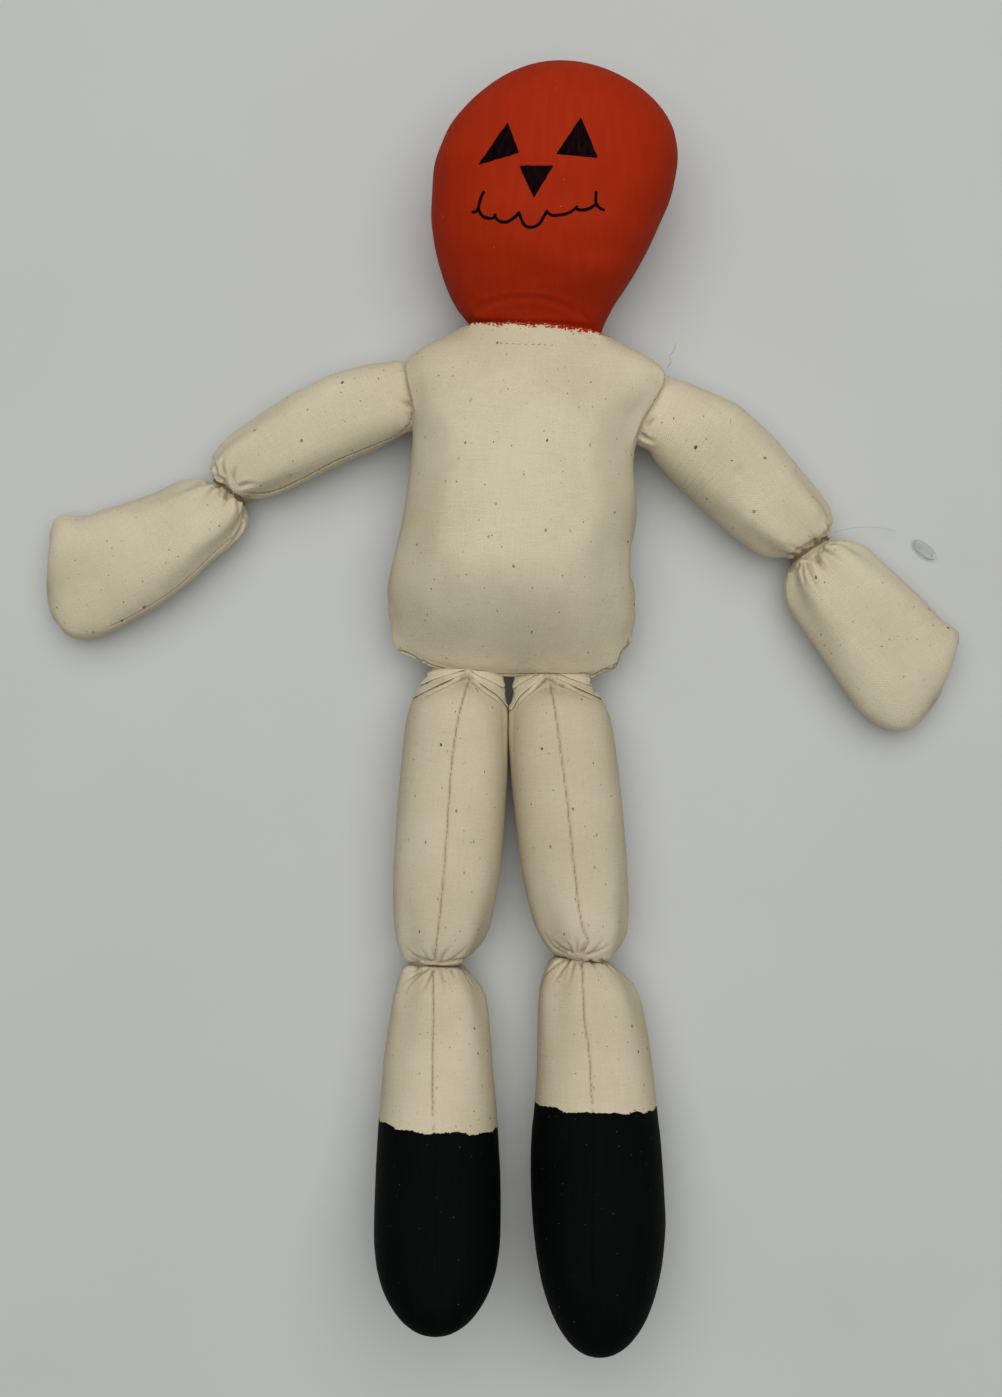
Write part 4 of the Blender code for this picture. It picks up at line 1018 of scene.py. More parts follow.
@dataclass
class ClothPiece:
    """A stuffed skin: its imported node, the finish it takes, and what shows in its cloth.

    spine is its middle line in pixels. Lengths are in millimetres: the spine's height and the
    skin's radius about it, voxel, the spacing of the cloth's points, and cap, how far the
    stuffing may push it out. smoothing, rounding and settling are rounds of relax: at first,
    away from the tie, and after the simulation. levelling changes the height along Y. tapers
    thin the cloth towards a seam and crests draw it in to one: each is a line, a reach and a
    share. The skin is sewn to some neighbours and lies beside others.
    """

    SEAM_REACH = 4.5 * MM
    SEAM_SINK = 1.4 * MM
    BESIDE_REACH = 3.6 * MM
    BESIDE_GAP = 0.25 * MM
    OVER_TIE_REACH = 14 * MM
    OVER_TIE_LEAN = 2.4 * MM
    TIE_KEPT = 2 * MM
    TIE_BLEND = 8 * MM

    node: str
    name: str
    slot: Slot
    finish: bpy.types.Material
    spine: tuple[Pixel, ...]
    height: float
    radius: float
    voxel: float
    seed: int
    folds: tuple[Fold, ...] = ()
    seams: tuple[Fold, ...] = ()
    side_seams: tuple[float, ...] = ()
    sewn_to: tuple[str, ...] = ()
    tucked: bool = True
    growth: float = 0.05
    cap: float = 0.35
    smoothing: int = 8
    settling: int = 1
    lump_size: float = 22.0
    lump_height: float = 0.3
    beside: tuple[str, ...] = ()
    levelling: tuple[tuple[float, float], ...] = ()
    rounding: int = 0
    tapers: tuple[tuple[np.ndarray, float, float], ...] = ()
    crests: tuple[tuple[np.ndarray, float, float], ...] = ()
    fill: float = 0.7

    def middle_line(self) -> np.ndarray:
        """The skin's middle line, in metres."""
        return np.array([VIEW.level(pixel, self.height * MM) for pixel in self.spine])

    def side_seam(self, tree: BVHTree, side: float) -> np.ndarray:
        """Line where the front and the back panel meet, on one side of the piece.

        Args:
            tree: The skin.
            side: 1 for the side to the left of the middle line's run, or -1.

        Returns:
            Points on the skin, one a row.
        """
        line = smooth_line(self.middle_line(), 3.0 * MM)
        path = []
        for before, here, after in zip(line, line[1:], line[2:]):
            ahead = Vector(after - before).normalized()
            out = Vector((-ahead.y, ahead.x, 0.0)) * side
            out.z = -0.08
            hit = tree.ray_cast(Vector(here), out.normalized())[0]
            if hit is not None:
                path.append(tuple(hit))
        return np.array(path)

    def gathers(self) -> list[Gathers]:
        """The ties that gather this piece."""
        return []

    def tie_heading(self) -> float:
        """The way that the limb runs through its tie, in degrees."""
        return 0.0

    def held(self, points: np.ndarray, trees: list[BVHTree]) -> np.ndarray:
        """Which points a seam or a thread holds still."""
        near = [
            any(tree.find_nearest(Vector(point), 1.8 * MM)[0] is not None for tree in trees)
            for point in points
        ]
        held = np.array(near)
        for gather in self.gathers():
            held |= np.linalg.norm(points - gather.centre, axis=1) < gather.half_width + 0.8 * MM
        return held

    def build(self, frame: dict) -> ClothSkin:
        """Make the piece.


        Returns:
            The finished skin.
        """
        skin = ClothSkin(frame["nodes"][self.node], self.name, self.voxel * MM)
        trees = [solid_tree(frame["nodes"][name]) for name in self.sewn_to]
        skin.relax(self.smoothing)
        for gather in self.gathers()[:1]:
            away = np.linalg.norm(skin.points() - gather.centre, axis=1) - gather.half_width
            skin.relax(self.rounding, ease((away - self.TIE_KEPT) / self.TIE_BLEND)[:, None])
        if self.levelling:
            skin.level(self.height, self.levelling)
        for path, reach, thin in self.tapers:
            skin.taper(path, reach * MM, thin)
        skin.lump(self.lump_size * MM, self.lump_height * MM, float(self.seed))
        held = self.held(skin.points(), trees)
        skin.swell(held, self.growth, self.cap * MM, self.gathers())
        skin.relax(self.settling)
        if self.tucked:
            for tree in trees:
                skin.tuck(tree, self.SEAM_REACH, self.SEAM_SINK)
        for name in self.beside:
            other = solid_tree(frame["nodes"][name])
            skin.tuck(other, self.BESIDE_REACH, -self.BESIDE_GAP, 0.5)
        for gather in self.gathers()[:1]:
            heading, reach = self.tie_heading(), self.OVER_TIE_REACH
            skin.hang_over(gather.centre, heading, gather.half_width, reach, self.OVER_TIE_LEAN)
        skin.refine()
        for path, reach, pull in self.crests:
            skin.pinch(path, reach * MM, pull)
        tree = skin.tree()
        creases = [fold.on(tree) for fold in (*self.seams, *self.folds)]
        for gather in self.gathers():
            creases += gather.creases(tree)
        for side in self.side_seams:
            path = self.side_seam(tree, side)
            creases.append(Crease(path, 0.5 * MM, 0.8 * MM, 0.3, 0.35, 0.02, 0.02))
        skin.press(creases)
        skin.run_grain(self.middle_line(), self.radius * MM)
        skin.dress(self.node, self.finish)
        return skin


@dataclass(frozen=True)
class ThreadWrap:
    """Turns of sewing thread drawn tight round a joint of the doll.

    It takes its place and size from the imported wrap, which it replaces.
    """

    node: str
    heading: float
    turns: int = 4
    steps_a_turn: int = 40
    strand: float = 0.32 * MM
    seed: int = 0

    def measure(self, frame: dict) -> tuple[np.ndarray, float, float, float]:
        """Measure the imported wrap.


        Returns:
            Its centre, and its half sizes along the limb, across it and upwards.
        """
        mesh = frame["nodes"][self.node].data
        flat = np.empty(len(mesh.vertices) * 3)
        mesh.vertices.foreach_get("co", flat)
        ahead = compass(self.heading)
        axes = np.array((ahead, (-ahead[1], ahead[0], 0.0), (0.0, 0.0, 1.0)))
        spread = flat.reshape(-1, 3) @ axes.T
        low, high = spread.min(0), spread.max(0)
        return ((low + high) / 2) @ axes, *((high - low) / 2)

    def build(self, frame: dict, thread: bpy.types.Material) -> bpy.types.Object:
        """Make the wrap."""
        centre, half_band, half_width, half_height = self.measure(frame)
        ahead, up = compass(self.heading), np.array((0.0, 0.0, 1.0))
        across = np.array((-ahead[1], ahead[0], 0.0))
        draw = random.Random(self.seed)
        bows = [draw.uniform(-0.35, 0.35) for _ in range(self.turns + 1)]
        steps = self.steps_a_turn * self.turns
        path = []
        for step in range(steps + 1):
            turn = step / self.steps_a_turn
            share = step / steps
            bow = bows[int(turn) % len(bows)] * math.sin(math.tau * turn)
            along = half_band * (0.8 * (2 * share - 1) + bow)
            pull = 1.0 - 0.03 * math.sin(math.pi * share)
            angle = math.tau * turn + 0.6
            path.append(
                centre + ahead * along
                + across * (math.cos(angle) * (half_width - self.strand) * pull)
                + up * (math.sin(angle) * (half_height - self.strand) * pull)
            )
        piece = twist("twisted_" + self.node, np.array(path), self.strand, thread)
        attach(piece, BODY)
        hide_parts(self.node)
        return piece


def twist(
    name: str, path: np.ndarray, radius: float, material: bpy.types.Material, plies: int = 2
) -> bpy.types.Object:
    """Make a twisted thread along a line.

    Args:
        name: The piece's name.
        path: The thread's middle line, one point a row.
        radius: Its own radius, in metres.
        material: Its finish.
        plies: How many strands it is twisted from.

    Returns:
        A mesh object of closed strands.
    """
    line = smooth_line(path, 0.3 * MM)
    curve = bpy.data.curves.new(name, "CURVE")
    curve.dimensions = "3D"
    curve.bevel_depth = radius * 0.56
    curve.bevel_resolution = 1
    curve.use_fill_caps = True
    pitch = radius * 7
    for ply in range(plies):
        points, run = [], 0.0
        for index, here in enumerate(line):
            ahead = line[min(index + 1, len(line) - 1)] - line[max(index - 1, 0)]
            ahead = Vector(ahead).normalized()
            side = ahead.orthogonal().normalized()
            other = ahead.cross(side)
            if index:
                run += float(np.linalg.norm(here - line[index - 1]))
            angle = math.tau * (run / pitch + ply / plies)
            shift = (side * math.cos(angle) + other * math.sin(angle)) * radius * 0.5
            points.append(Vector(here) + shift)
        spline = curve.splines.new("POLY")
        spline.points.add(len(points) - 1)
        for slot, point in zip(spline.points, points):
            slot.co = (*point, 1.0)
    bent = bpy.data.objects.new(name, curve)
    bpy.context.scene.collection.objects.link(bent)
    graph = bpy.context.evaluated_depsgraph_get()
    data = bpy.data.meshes.new_from_object(bent.evaluated_get(graph))
    bpy.data.objects.remove(bent)
    data.materials.clear()
    data.materials.append(material)
    data.shade_smooth()
    made = bpy.data.objects.new(name, data)
    bpy.context.scene.collection.objects.link(made)
    return made


def lay_patch(
    outline: np.ndarray, tree: BVHTree, mesh: bmesh.types.BMesh, lift: float, thick: float, step: float
) -> None:
    """Lay a flat shape on a surface, as a thin closed patch.

    Args:
        outline: Its outline in pixels, one point a row.
        tree: The surface.
        mesh: What the patch is added to.
        lift: How far its top lies over the surface, in metres.
        thick: How thick it is, in metres.
        step: The spacing of its points, in pixels.
    """
    flat = bmesh.new()
    flat.faces.new([flat.verts.new((x, -y, 0.0)) for x, y in outline])
    bmesh.ops.remove_doubles(flat, verts=flat.verts[:], dist=0.2)
    bmesh.ops.triangulate(flat, faces=flat.faces[:])
    for _ in range(3):
        long_edges = [e for e in flat.edges if e.calc_length() > 2.2 * step]
        if not long_edges:
            break
        bmesh.ops.subdivide_edges(flat, edges=long_edges, cuts=1)
        bmesh.ops.triangulate(flat, faces=flat.faces[:])
    for vert in flat.verts:
        vert.co = VIEW.drop((vert.co.x, -vert.co.y), tree)
    bmesh.ops.recalc_face_normals(flat, faces=flat.faces[:])
    if sum(face.normal.z for face in flat.faces) < 0:
        bmesh.ops.reverse_faces(flat, faces=flat.faces[:])
    flat.normal_update()
    for vert, shift in {vert: vert.normal * lift for vert in flat.verts}.items():
        vert.co += shift
    under = bmesh.ops.extrude_face_region(flat, geom=flat.faces[:], use_keep_orig=True)["geom"]
    for vert in (item for item in under if isinstance(item, bmesh.types.BMVert)):
        vert.co -= Vector((0.0, 0.0, thick))
    bmesh.ops.recalc_face_normals(flat, faces=flat.faces[:])
    piece = bpy.data.meshes.new("patch")
    flat.to_mesh(piece)
    flat.free()
    mesh.from_mesh(piece)
    bpy.data.meshes.remove(piece)


def map_flat(piece: bpy.types.Object) -> None:
    """Give a small flat piece a UV map from above, in the units of the weave."""
    mesh = piece.data
    flat = np.empty(len(mesh.vertices) * 3)
    mesh.vertices.foreach_get("co", flat)
    corners = np.empty(len(mesh.loops), int)
    mesh.loops.foreach_get("vertex_index", corners)
    uv = flat.reshape(-1, 3)[corners, :2] / (Weave.map_unit * MM)
    mesh.uv_layers.new(name="grain").data.foreach_set("uv", uv.ravel().astype(np.float32))


@dataclass(frozen=True)
class Face:
    """The jack-o'-lantern face, drawn with a marker on the head.

    The eyes and nose are filled triangles, and the mouth one scalloped line with a tick at
    each end. Sizes are in photograph pixels, apart from the ink's thickness.
    """

    eyes: tuple[tuple[Pixel, ...], ...] = (
        ((508, 122), (519, 153), (478, 165)),
        ((581, 117), (598, 158), (556, 154)),
    )
    nose: tuple[Pixel, ...] = ((519, 165.5), (553.5, 165.5), (534, 198))
    mouth: tuple[tuple[Pixel, ...], ...] = (
        ((484, 192), (480.5, 199), (478.6, 208)),
        ((478.8, 207), (476.5, 211), (473, 212)),
        ((478.6, 209), (482, 215.5), (488, 218), (494, 218), (495, 214.5)),
        ((495, 217), (499, 220.5), (505, 222), (511, 220), (515, 217), (519, 213)),
        ((519.5, 215), (524.5, 225), (531, 227), (539, 224), (543, 218), (547, 211)),
        ((547, 212), (552, 215), (563, 214.5), (572, 211), (577, 207)),
        ((576, 209), (580, 210), (588, 209), (595, 205)),
        ((596, 192), (595.5, 198), (596, 203), (599, 207), (604, 210)),
    )
    line_width: float = 3.1
    corner: float = 1.6
    wobble: float = 0.55
    mesh_step: float = 1.6
    ink_depth: float = 0.1 * MM

    def rounded(self, corners: Sequence[Pixel]) -> np.ndarray:
        """A filled shape's outline with soft corners and slightly uneven edges."""
        outline = []
        count = len(corners)
        for index in range(count):
            before = np.array(corners[index - 1], float)
            here = np.array(corners[index], float)
            after = np.array(corners[(index + 1) % count], float)
            back = (before - here) / np.linalg.norm(before - here)
            on = (after - here) / np.linalg.norm(after - here)
            for t in np.linspace(0.0, 1.0, 5):
                start, end = here + back * self.corner, here + on * self.corner
                outline.append((1 - t) ** 2 * start + 2 * t * (1 - t) * here + t ** 2 * end)
            run = float(np.linalg.norm(after - here)) - 2 * self.corner
            for t in np.linspace(0.0, 1.0, max(2, int(run / self.mesh_step)))[1:-1]:
                outline.append(here + on * (self.corner + run * t))
        return self.wobbled(np.array(outline))

    def stroke(self, line: Sequence[Pixel]) -> np.ndarray:
        """The outline of one stroke of the marker, with round ends."""
        path = smooth_line(line, self.mesh_step)
        ahead = np.gradient(path, axis=0)
        ahead /= np.linalg.norm(ahead, axis=1)[:, None]
        side = np.stack([-ahead[:, 1], ahead[:, 0]], axis=1)
        half = self.line_width / 2
        ends = []
        for tip, run in ((path[-1], ahead[-1]), (path[0], -ahead[0])):
            left = np.array((-run[1], run[0]))
            ends.append([
                tip + half * (left * math.cos(a) + run * math.sin(a))
                for a in np.linspace(0.0, math.pi, 6)[1:-1]
            ])
        outline = [*(path + side * half), *ends[0], *(path - side * half)[::-1], *ends[1]]
        return self.wobbled(np.array(outline))

    def wobbled(self, outline: np.ndarray) -> np.ndarray:
        """Shift an outline's points a little, as a hand does."""
        shifts = [noise.noise_vector(Vector((x * 0.16, y * 0.16, 0.5))) for x, y in outline]
        return outline + np.array([(s.x, s.y) for s in shifts]) * self.wobble

    def build(self, head: ClothSkin, ink: bpy.types.Material) -> list[bpy.types.Object]:
        """Draw the face on the head.

        Args:
            head: The finished head.
            ink: The marker's finish.

        Returns:
            The eyes, the nose and the mouth.
        """
        tree = head.tree()
        shapes = {
            "inked_eyes": [self.rounded(eye) for eye in self.eyes],
            "inked_nose": [self.rounded(self.nose)],
            "inked_mouth": [self.stroke(line) for line in self.mouth],
        }
        made = []
        for name, outlines in shapes.items():
            mesh = bmesh.new()
            for outline in outlines:
                lay_patch(outline, tree, mesh, self.ink_depth, self.ink_depth * 2, self.mesh_step)
            piece = mesh_object(name, mesh, ink)
            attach(piece, BODY)
            made.append(piece)
        return made


@dataclass(frozen=True)
class Stitches:
    """A row of machine stitches: short lengths of thread that sit in a seam.

    Lengths are in millimetres. skip is the share of stitches that have sunk out of sight.
    """

    name: str
    lines: tuple[tuple[Pixel, ...], ...]
    pitch: float = 2.0
    length: float = 1.6
    radius: float = 0.11
    sink: float = 0.05
    skip: float = 0.1
    seed: int = 0

    def build(self, tree: BVHTree, thread: bpy.types.Material) -> bpy.types.Object:
        """Sew the stitches along their lines.

        Args:
            tree: The surface that they are sewn on.
            thread: Their finish.

        Returns:
            The stitches, as one piece.
        """
        draw, mesh = random.Random(self.seed), bmesh.new()
        for line in self.lines:
            path = np.array([VIEW.drop(point, tree) for point in smooth_line(line, 1.5)])
            runs = np.concatenate([[0.0], np.cumsum(np.linalg.norm(np.diff(path, axis=0), axis=1))])
            for start in np.arange(0.3 * MM, runs[-1] - self.length * MM, self.pitch * MM):
                if draw.random() < self.skip:
                    continue
                ends = start, start + self.length * MM * draw.uniform(0.8, 1.1)
                first, last = (
                    Vector([float(np.interp(end, runs, path[:, axis])) for axis in range(3)])
                    for end in ends
                )
                self.sew(mesh, tree, first, last, draw)
        piece = mesh_object(self.name, mesh, thread)
        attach(piece, BODY)
        return piece

    def sew(
        self, mesh: bmesh.types.BMesh, tree: BVHTree, first: Vector, last: Vector, draw: random.Random
    ) -> None:
        """Add one stitch, a little bow of thread from one point of the cloth to another."""
        middle = (first + last) / 2
        near, normal, _, _ = tree.find_nearest(middle)
        ahead = (last - first).normalized()
        across = normal.cross(ahead).normalized()
        made = bmesh.ops.create_uvsphere(mesh, u_segments=6, v_segments=5, radius=1.0)["verts"]
        half, thick = (last - first).length / 2, self.radius * MM
        slant = draw.uniform(-0.12, 0.12)
        seat = near + normal * (thick * 0.4 - self.sink * MM)
        for vert in made:
            place = vert.co.copy()
            vert.co = (
                seat + ahead * (place.z * half) + across * (place.x * thick + slant * place.z * half)
                + normal * (place.y * thick * 0.9)
            )


@dataclass(frozen=True)
class Pleat:
    """Folded layers of calico over the top of a thigh, each a panel with a rolled edge.

    Outlines are in pixels. rise is how high each layer lies over the one below, and thick how
    thick it is, in millimetres.
    """

    name: str
    layers: tuple[tuple[Pixel, ...], ...]
    rise: float = 0.8
    thick: float = 1.5
    mesh_step: float = 3.0

    def build(self, skin: ClothSkin, calico: bpy.types.Material) -> bpy.types.Object:
        """Lay the layers on the thigh."""
        mesh, tree = bmesh.new(), skin.tree()
        for number, outline in enumerate(self.layers):
            corners = smooth_line((*outline, outline[0]), self.mesh_step)[:-1]
            lift = self.rise * (number % 2 + 1) * MM
            lay_patch(corners, tree, mesh, lift, self.thick * MM, self.mesh_step)
        piece = mesh_object(self.name, mesh, calico)
        soften = piece.modifiers.new("rolled_edge", "SUBSURF")
        soften.levels = soften.render_levels = 2
        bake(piece)
        map_flat(piece)
        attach(piece, BODY)
        return piece


@dataclass(frozen=True)
class LooseThread:
    """A free end of sewing thread that stands off the doll's left shoulder."""

    line: tuple[Pixel, ...] = ((667, 368), (671, 362), (670, 356), (674, 350), (676, 343))
    heights: tuple[float, ...] = (31.0, 32.5, 32.0, 31.0, 30.5)
    radius: float = 0.09 * MM

    def build(self, thread: bpy.types.Material) -> bpy.types.Object:
        """Make the thread."""
        path = np.array([VIEW.level(p, h * MM) for p, h in zip(self.line, self.heights)])
        piece = twist("loose_thread_end", path, self.radius, thread)
        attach(piece, BODY)
        return piece


@dataclass(frozen=True)
class TagPin:
    """A swift-tack tag fastener left in the elbow: a fine filament with a paddle at its end."""

    node: str = "tag_fastener"

    line: tuple[Pixel, ...] = (
        (834, 523), (842, 521), (850, 521.6), (864, 525), (878, 531), (892, 538), (903, 543), (914, 547),
    )
    paddle: tuple[Pixel, Pixel] = ((913.5, 541), (935.5, 558.5))
    filament: float = 0.16 * MM

    def build(self, frame: dict, plastic: bpy.types.Material) -> bpy.types.Object:
        """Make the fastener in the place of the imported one."""
        tree = solid_tree(frame["nodes"][self.node])
        path = np.array([VIEW.drop(pixel, tree) for pixel in self.line])
        piece = twist("tag_pin", path, self.filament, plastic, plies=1)
        near, far = (VIEW.level(pixel, 1.6 * MM) for pixel in self.paddle)
        mesh = bmesh.new()
        mesh.from_mesh(piece.data)
        made = bmesh.ops.create_uvsphere(mesh, u_segments=24, v_segments=12, radius=1.0)["verts"]
        ahead = (far - near).normalized()
        across = Vector((-ahead.y, ahead.x, 0.0))
        for vert in made:
            x, y, z = vert.co
            vert.co = (
                (near + far) / 2 + ahead * (x * (far - near).length / 2) + across * (y * 2.2 * MM)
                + Vector((0.0, 0.0, z * 0.25 * MM))
            )
        mesh.to_mesh(piece.data)
        mesh.free()
        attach(piece, BODY)
        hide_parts(self.node)
        return piece


@dataclass(frozen=True)
class Studio:
    """A plain pale table, a large soft light from beyond the head and an even fill."""

    half_floor: float = 2.5
    key_size: float = 5.0
    key_aim: tuple[float, float, float] = (0.0, -0.05, 0.0)
    key_place: tuple[float, float, float] = (0.1, 0.75, 3.4)
    key_power: float = 146.0
    fill: str = "ffffff"
    fill_strength: float = 0.13

    def build(self) -> None:
        """Make the table and the lights."""
        mesh = bmesh.new()
        bmesh.ops.create_grid(mesh, x_segments=1, y_segments=1, size=self.half_floor)
        floor = mesh_object("table", mesh, TableTop().make())
        data = bpy.data.lights.new("key", "AREA")
        data.shape = "DISK"
        data.size = self.key_size
        data.energy = self.key_power
        key = bpy.data.objects.new("key", data)
        key.location = self.key_place
        aim = Vector(self.key_aim) - key.location
        key.rotation_euler = aim.to_track_quat("-Z", "Y").to_euler()
        bpy.context.scene.collection.objects.link(key)
        world = bpy.data.worlds.new("studio")
        world.use_nodes = True
        sky = world.node_tree.nodes["Background"]
        sky.inputs["Color"].default_value = linear(self.fill)
        sky.inputs["Strength"].default_value = self.fill_strength
        bpy.context.scene.world = world
        bpy.context.scene.view_settings.view_transform = "Standard"


HEAD_LEVELLING = (
    (56, 1.0), (61, 1.1), (66, 1.34), (68.5, 1.335), (71, 1.3), (73.5, 1.224), (76, 1.152),
    (78.5, 1.08), (81, 1.02), (83.5, 0.998), (86, 0.982), (88.5, 0.969), (91, 0.957),
    (96, 0.945), (101, 0.94), (111, 0.932), (121, 0.94), (131, 0.96), (146, 1.0),
)
HEAD_SPINE = ((535, 330), (548, 200), (556, 90))
TORSO_SPINE = ((524, 690), (522, 500), (530, 330))
ARM_RIGHT_SPINE = ((405, 385), (320, 425), (227, 484), (150, 540), (60, 585))
ARM_LEFT_SPINE = ((655, 405), (730, 450), (812, 547), (870, 610), (925, 690))
LEG_RIGHT_SPINE = ((465, 690), (448, 820), (434.5, 965.6), (438, 1120), (438, 1300))
LEG_LEFT_SPINE = ((548, 690), (565, 820), (581, 955.7), (592, 1100), (598, 1320))
RIGHT_THIGH_SEAM = (
    (469, 679), (463, 700), (458, 720), (452, 760), (449, 800), (445, 858), (440, 915), (435, 957),
)
RIGHT_SHIN_SEAM = ((433, 970), (433.5, 1020), (432.5, 1070), (433, 1118))
RIGHT_BOOT_SEAM = ((433.5, 1122), (433, 1190), (433.5, 1240), (437, 1286))
LEFT_THIGH_SEAM = (
    (549, 679), (554, 705), (558, 732), (567, 801), (577, 893), (583, 929), (588, 941), (582, 955),
)
LEFT_SHIN_SEAM = ((582, 959), (584, 1018), (589, 1053), (592, 1106))
LEFT_BOOT_SEAM = ((592, 1108), (591, 1180), (590, 1247), (590.6, 1284))
RIGHT_ARM_SEAM = (
    (412, 411), (409, 424), (395, 436), (365, 449), (334, 462), (303, 478.5), (279, 489.5), (262, 493.5),
    (244, 492.5),
)
RIGHT_FOREARM_SEAM = (
    (242, 512), (239.5, 530), (216.5, 551), (191.5, 575), (167, 595), (135, 614.5), (106, 629),
)
HAND_EDGE_HEIGHT = 11.0
ARM_EDGES = {
    "arm_right": (
        tuple((x + 0.8, y + 2.2) for x, y in RIGHT_ARM_SEAM[1:-1]),
        ((238, 498), (243, 506), (245, 517), (242.5, 531), (219, 553), (194, 577.5), (169, 597.5),
         (136, 617), (106, 632), (90, 637.5), (75, 634), (60, 625), (53, 619), (46, 606), (46.5, 593),
         (46, 581), (51, 564), (52, 552), (51, 543), (46.5, 531), (47.5, 524), (54, 516.5),
         (62, 513), (82, 508), (103, 505), (136, 496), (169, 480), (189, 471.5), (203, 471.5)),
    ),
    "arm_left": (
        ((817, 646), (840, 680), (856, 705), (868, 717), (879, 725), (890, 729.5),
         (901, 731.5), (910, 731), (923, 725), (933, 716), (940, 709), (942, 703), (942.5, 690),
         (943, 676.5), (944, 665), (947, 657), (957, 646), (964, 638), (966, 632), (963, 621),
         (957, 616), (945, 611), (932, 602), (919, 591), (892, 566), (869, 542.5)),
    ),
}
TORSO_LEFT_EDGE = (
    (411, 453, 22), (408, 481, 22), (404, 509, 22), (397, 549, 21), (391, 570, 20), (385.5, 588, 19),
    (387, 600, 18), (385, 611, 18), (390, 622, 17), (392, 632, 17), (391, 642, 17), (395, 652, 17),
)
TORSO_HEM = (
    (395, 652, 17), (404, 654, 17), (413, 658, 18), (428, 668, 19), (446, 673, 19.5), (462, 674, 20),
    (483, 675.5, 19.5), (505, 676.5, 19), (527, 676, 19.5), (548, 676, 20), (570, 676.5, 20),
    (586, 675.5, 19.5), (592, 678, 19), (598, 674.5, 18), (606, 671, 17), (612, 672, 17),
    (617, 669, 17.5), (619, 661, 17), (622, 653, 17), (629, 647, 17), (634.5, 640, 17),
)
TORSO_RIGHT_EDGE = (
    (634.5, 640, 17), (634, 632, 17), (637, 620, 18), (636, 606, 18), (637.5, 592, 19),
    (633, 580, 20), (627, 570, 21), (629.5, 549, 22), (637, 530, 22), (638, 505, 22), (632, 481, 22),
    (632, 457, 22), (636, 440, 22),
)
HEM_STITCH_RISE = 2.2
NECK_SEAM = ((472, 318), (481, 320), (500, 321), (522, 321), (563, 321), (594, 325), (602, 329))
ARMHOLES = {
    "arm_left": ((670, 371), (667, 381), (660, 396), (651, 413), (642, 427), (636, 437)),
    "arm_right": ((402, 355), (403, 367), (405, 380), (411, 398), (414, 409)),
}
TORSO_NECK_STITCHES = ((498, 343), (520, 344), (559, 345.5))


def edge_path(line: tuple[tuple[float, float, float], ...]) -> np.ndarray:
    """A line on the doll's edge in metres, from pixels and a height in millimetres."""
    points = [VIEW.level((x, y), height * MM) for x, y, height in line]
    return smooth_line([tuple(point) for point in points], 1.0 * MM)


def shared_seam(frame: dict, nodes: tuple[str, str], *line: Pixel) -> np.ndarray:
    """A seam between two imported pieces: where they meet in the picture, at their middle height.

    Args:
        nodes: The two pieces.
        line: The seam's pixels.

    Returns:
        The seam, one point a row.
    """
    pixels = smooth_line(line, 3.0)
    ahead = np.gradient(pixels, axis=0)
    ahead /= np.linalg.norm(ahead, axis=1)[:, None]
    side = np.stack([-ahead[:, 1], ahead[:, 0]], axis=1) * 11.0
    middle, trees = Vector(VIEW.place), [solid_tree(frame["nodes"][name]) for name in nodes]
    path = []
    for pixel, off in zip(pixels, side):
        heights = [
            max((hit.z for hit in (
                tree.ray_cast(middle, VIEW.sight(pixel + way * off))[0] for way in (-1.0, 1.0)
            ) if hit is not None), default=None)
            for tree in trees
        ]
        known = [height for height in heights if height is not None]
        path.append(sum(known) / len(known) if known else 22 * MM)
    heights = np.convolve(np.pad(path, 3, mode="edge"), np.full(7, 1 / 7), mode="valid")
    return np.array([VIEW.level(pixel, height + 1.2 * MM) for pixel, height in zip(pixels, heights)])


def creases(depth: float, width: float, soil_and_shade: float, *lines: tuple[Pixel, ...]) -> tuple[Fold, ...]:
    """Several creases alike, each from where it is tight to where it runs out, darkened with dirt and
    painted shade.
    """
    return tuple(Fold(line, depth, width, soil_and_shade, 0.45, 0.03, 0.8) for line in lines)


RIGHT_PLEAT = (
    ((467, 673.5), (452, 681), (440, 686.5), (427, 693), (416, 698.5), (411, 699), (413, 693),
     (418, 686), (424, 680), (430, 675), (440, 672), (455, 671.5)),
    ((466, 672.5), (448, 678), (434, 683.5), (424, 688), (419, 688), (423, 681.5), (430, 675),
     (440, 671.5), (455, 671)),
    ((468, 673.5), (476, 682), (486, 690), (497, 697.5), (504, 706), (508, 709), (508, 699),
     (504, 691), (501, 683), (500, 675), (485, 673)),
    ((470, 672.5), (478, 678.5), (490, 684), (500, 690), (502, 687), (500, 681), (499, 675),
     (485, 673)),
)
LEFT_PLEAT = (
    ((546, 674.5), (539, 682), (530, 690), (521, 698), (514, 710), (510.5, 712), (511, 700),
     (514, 690), (516, 683), (517, 676), (532, 674)),
    ((544, 674), (535, 679.5), (524, 685), (516, 691), (515, 687), (517, 681), (518, 676),
     (532, 674)),
    ((549, 674.5), (559, 681), (570, 686.5), (585, 693.5), (600, 700), (607, 701), (603, 694),
     (597, 685), (591, 676), (575, 674)),
    ((550, 674), (562, 679), (575, 683.5), (589, 688.5), (596, 688.5), (593, 681), (589, 676),
     (575, 674)),
)
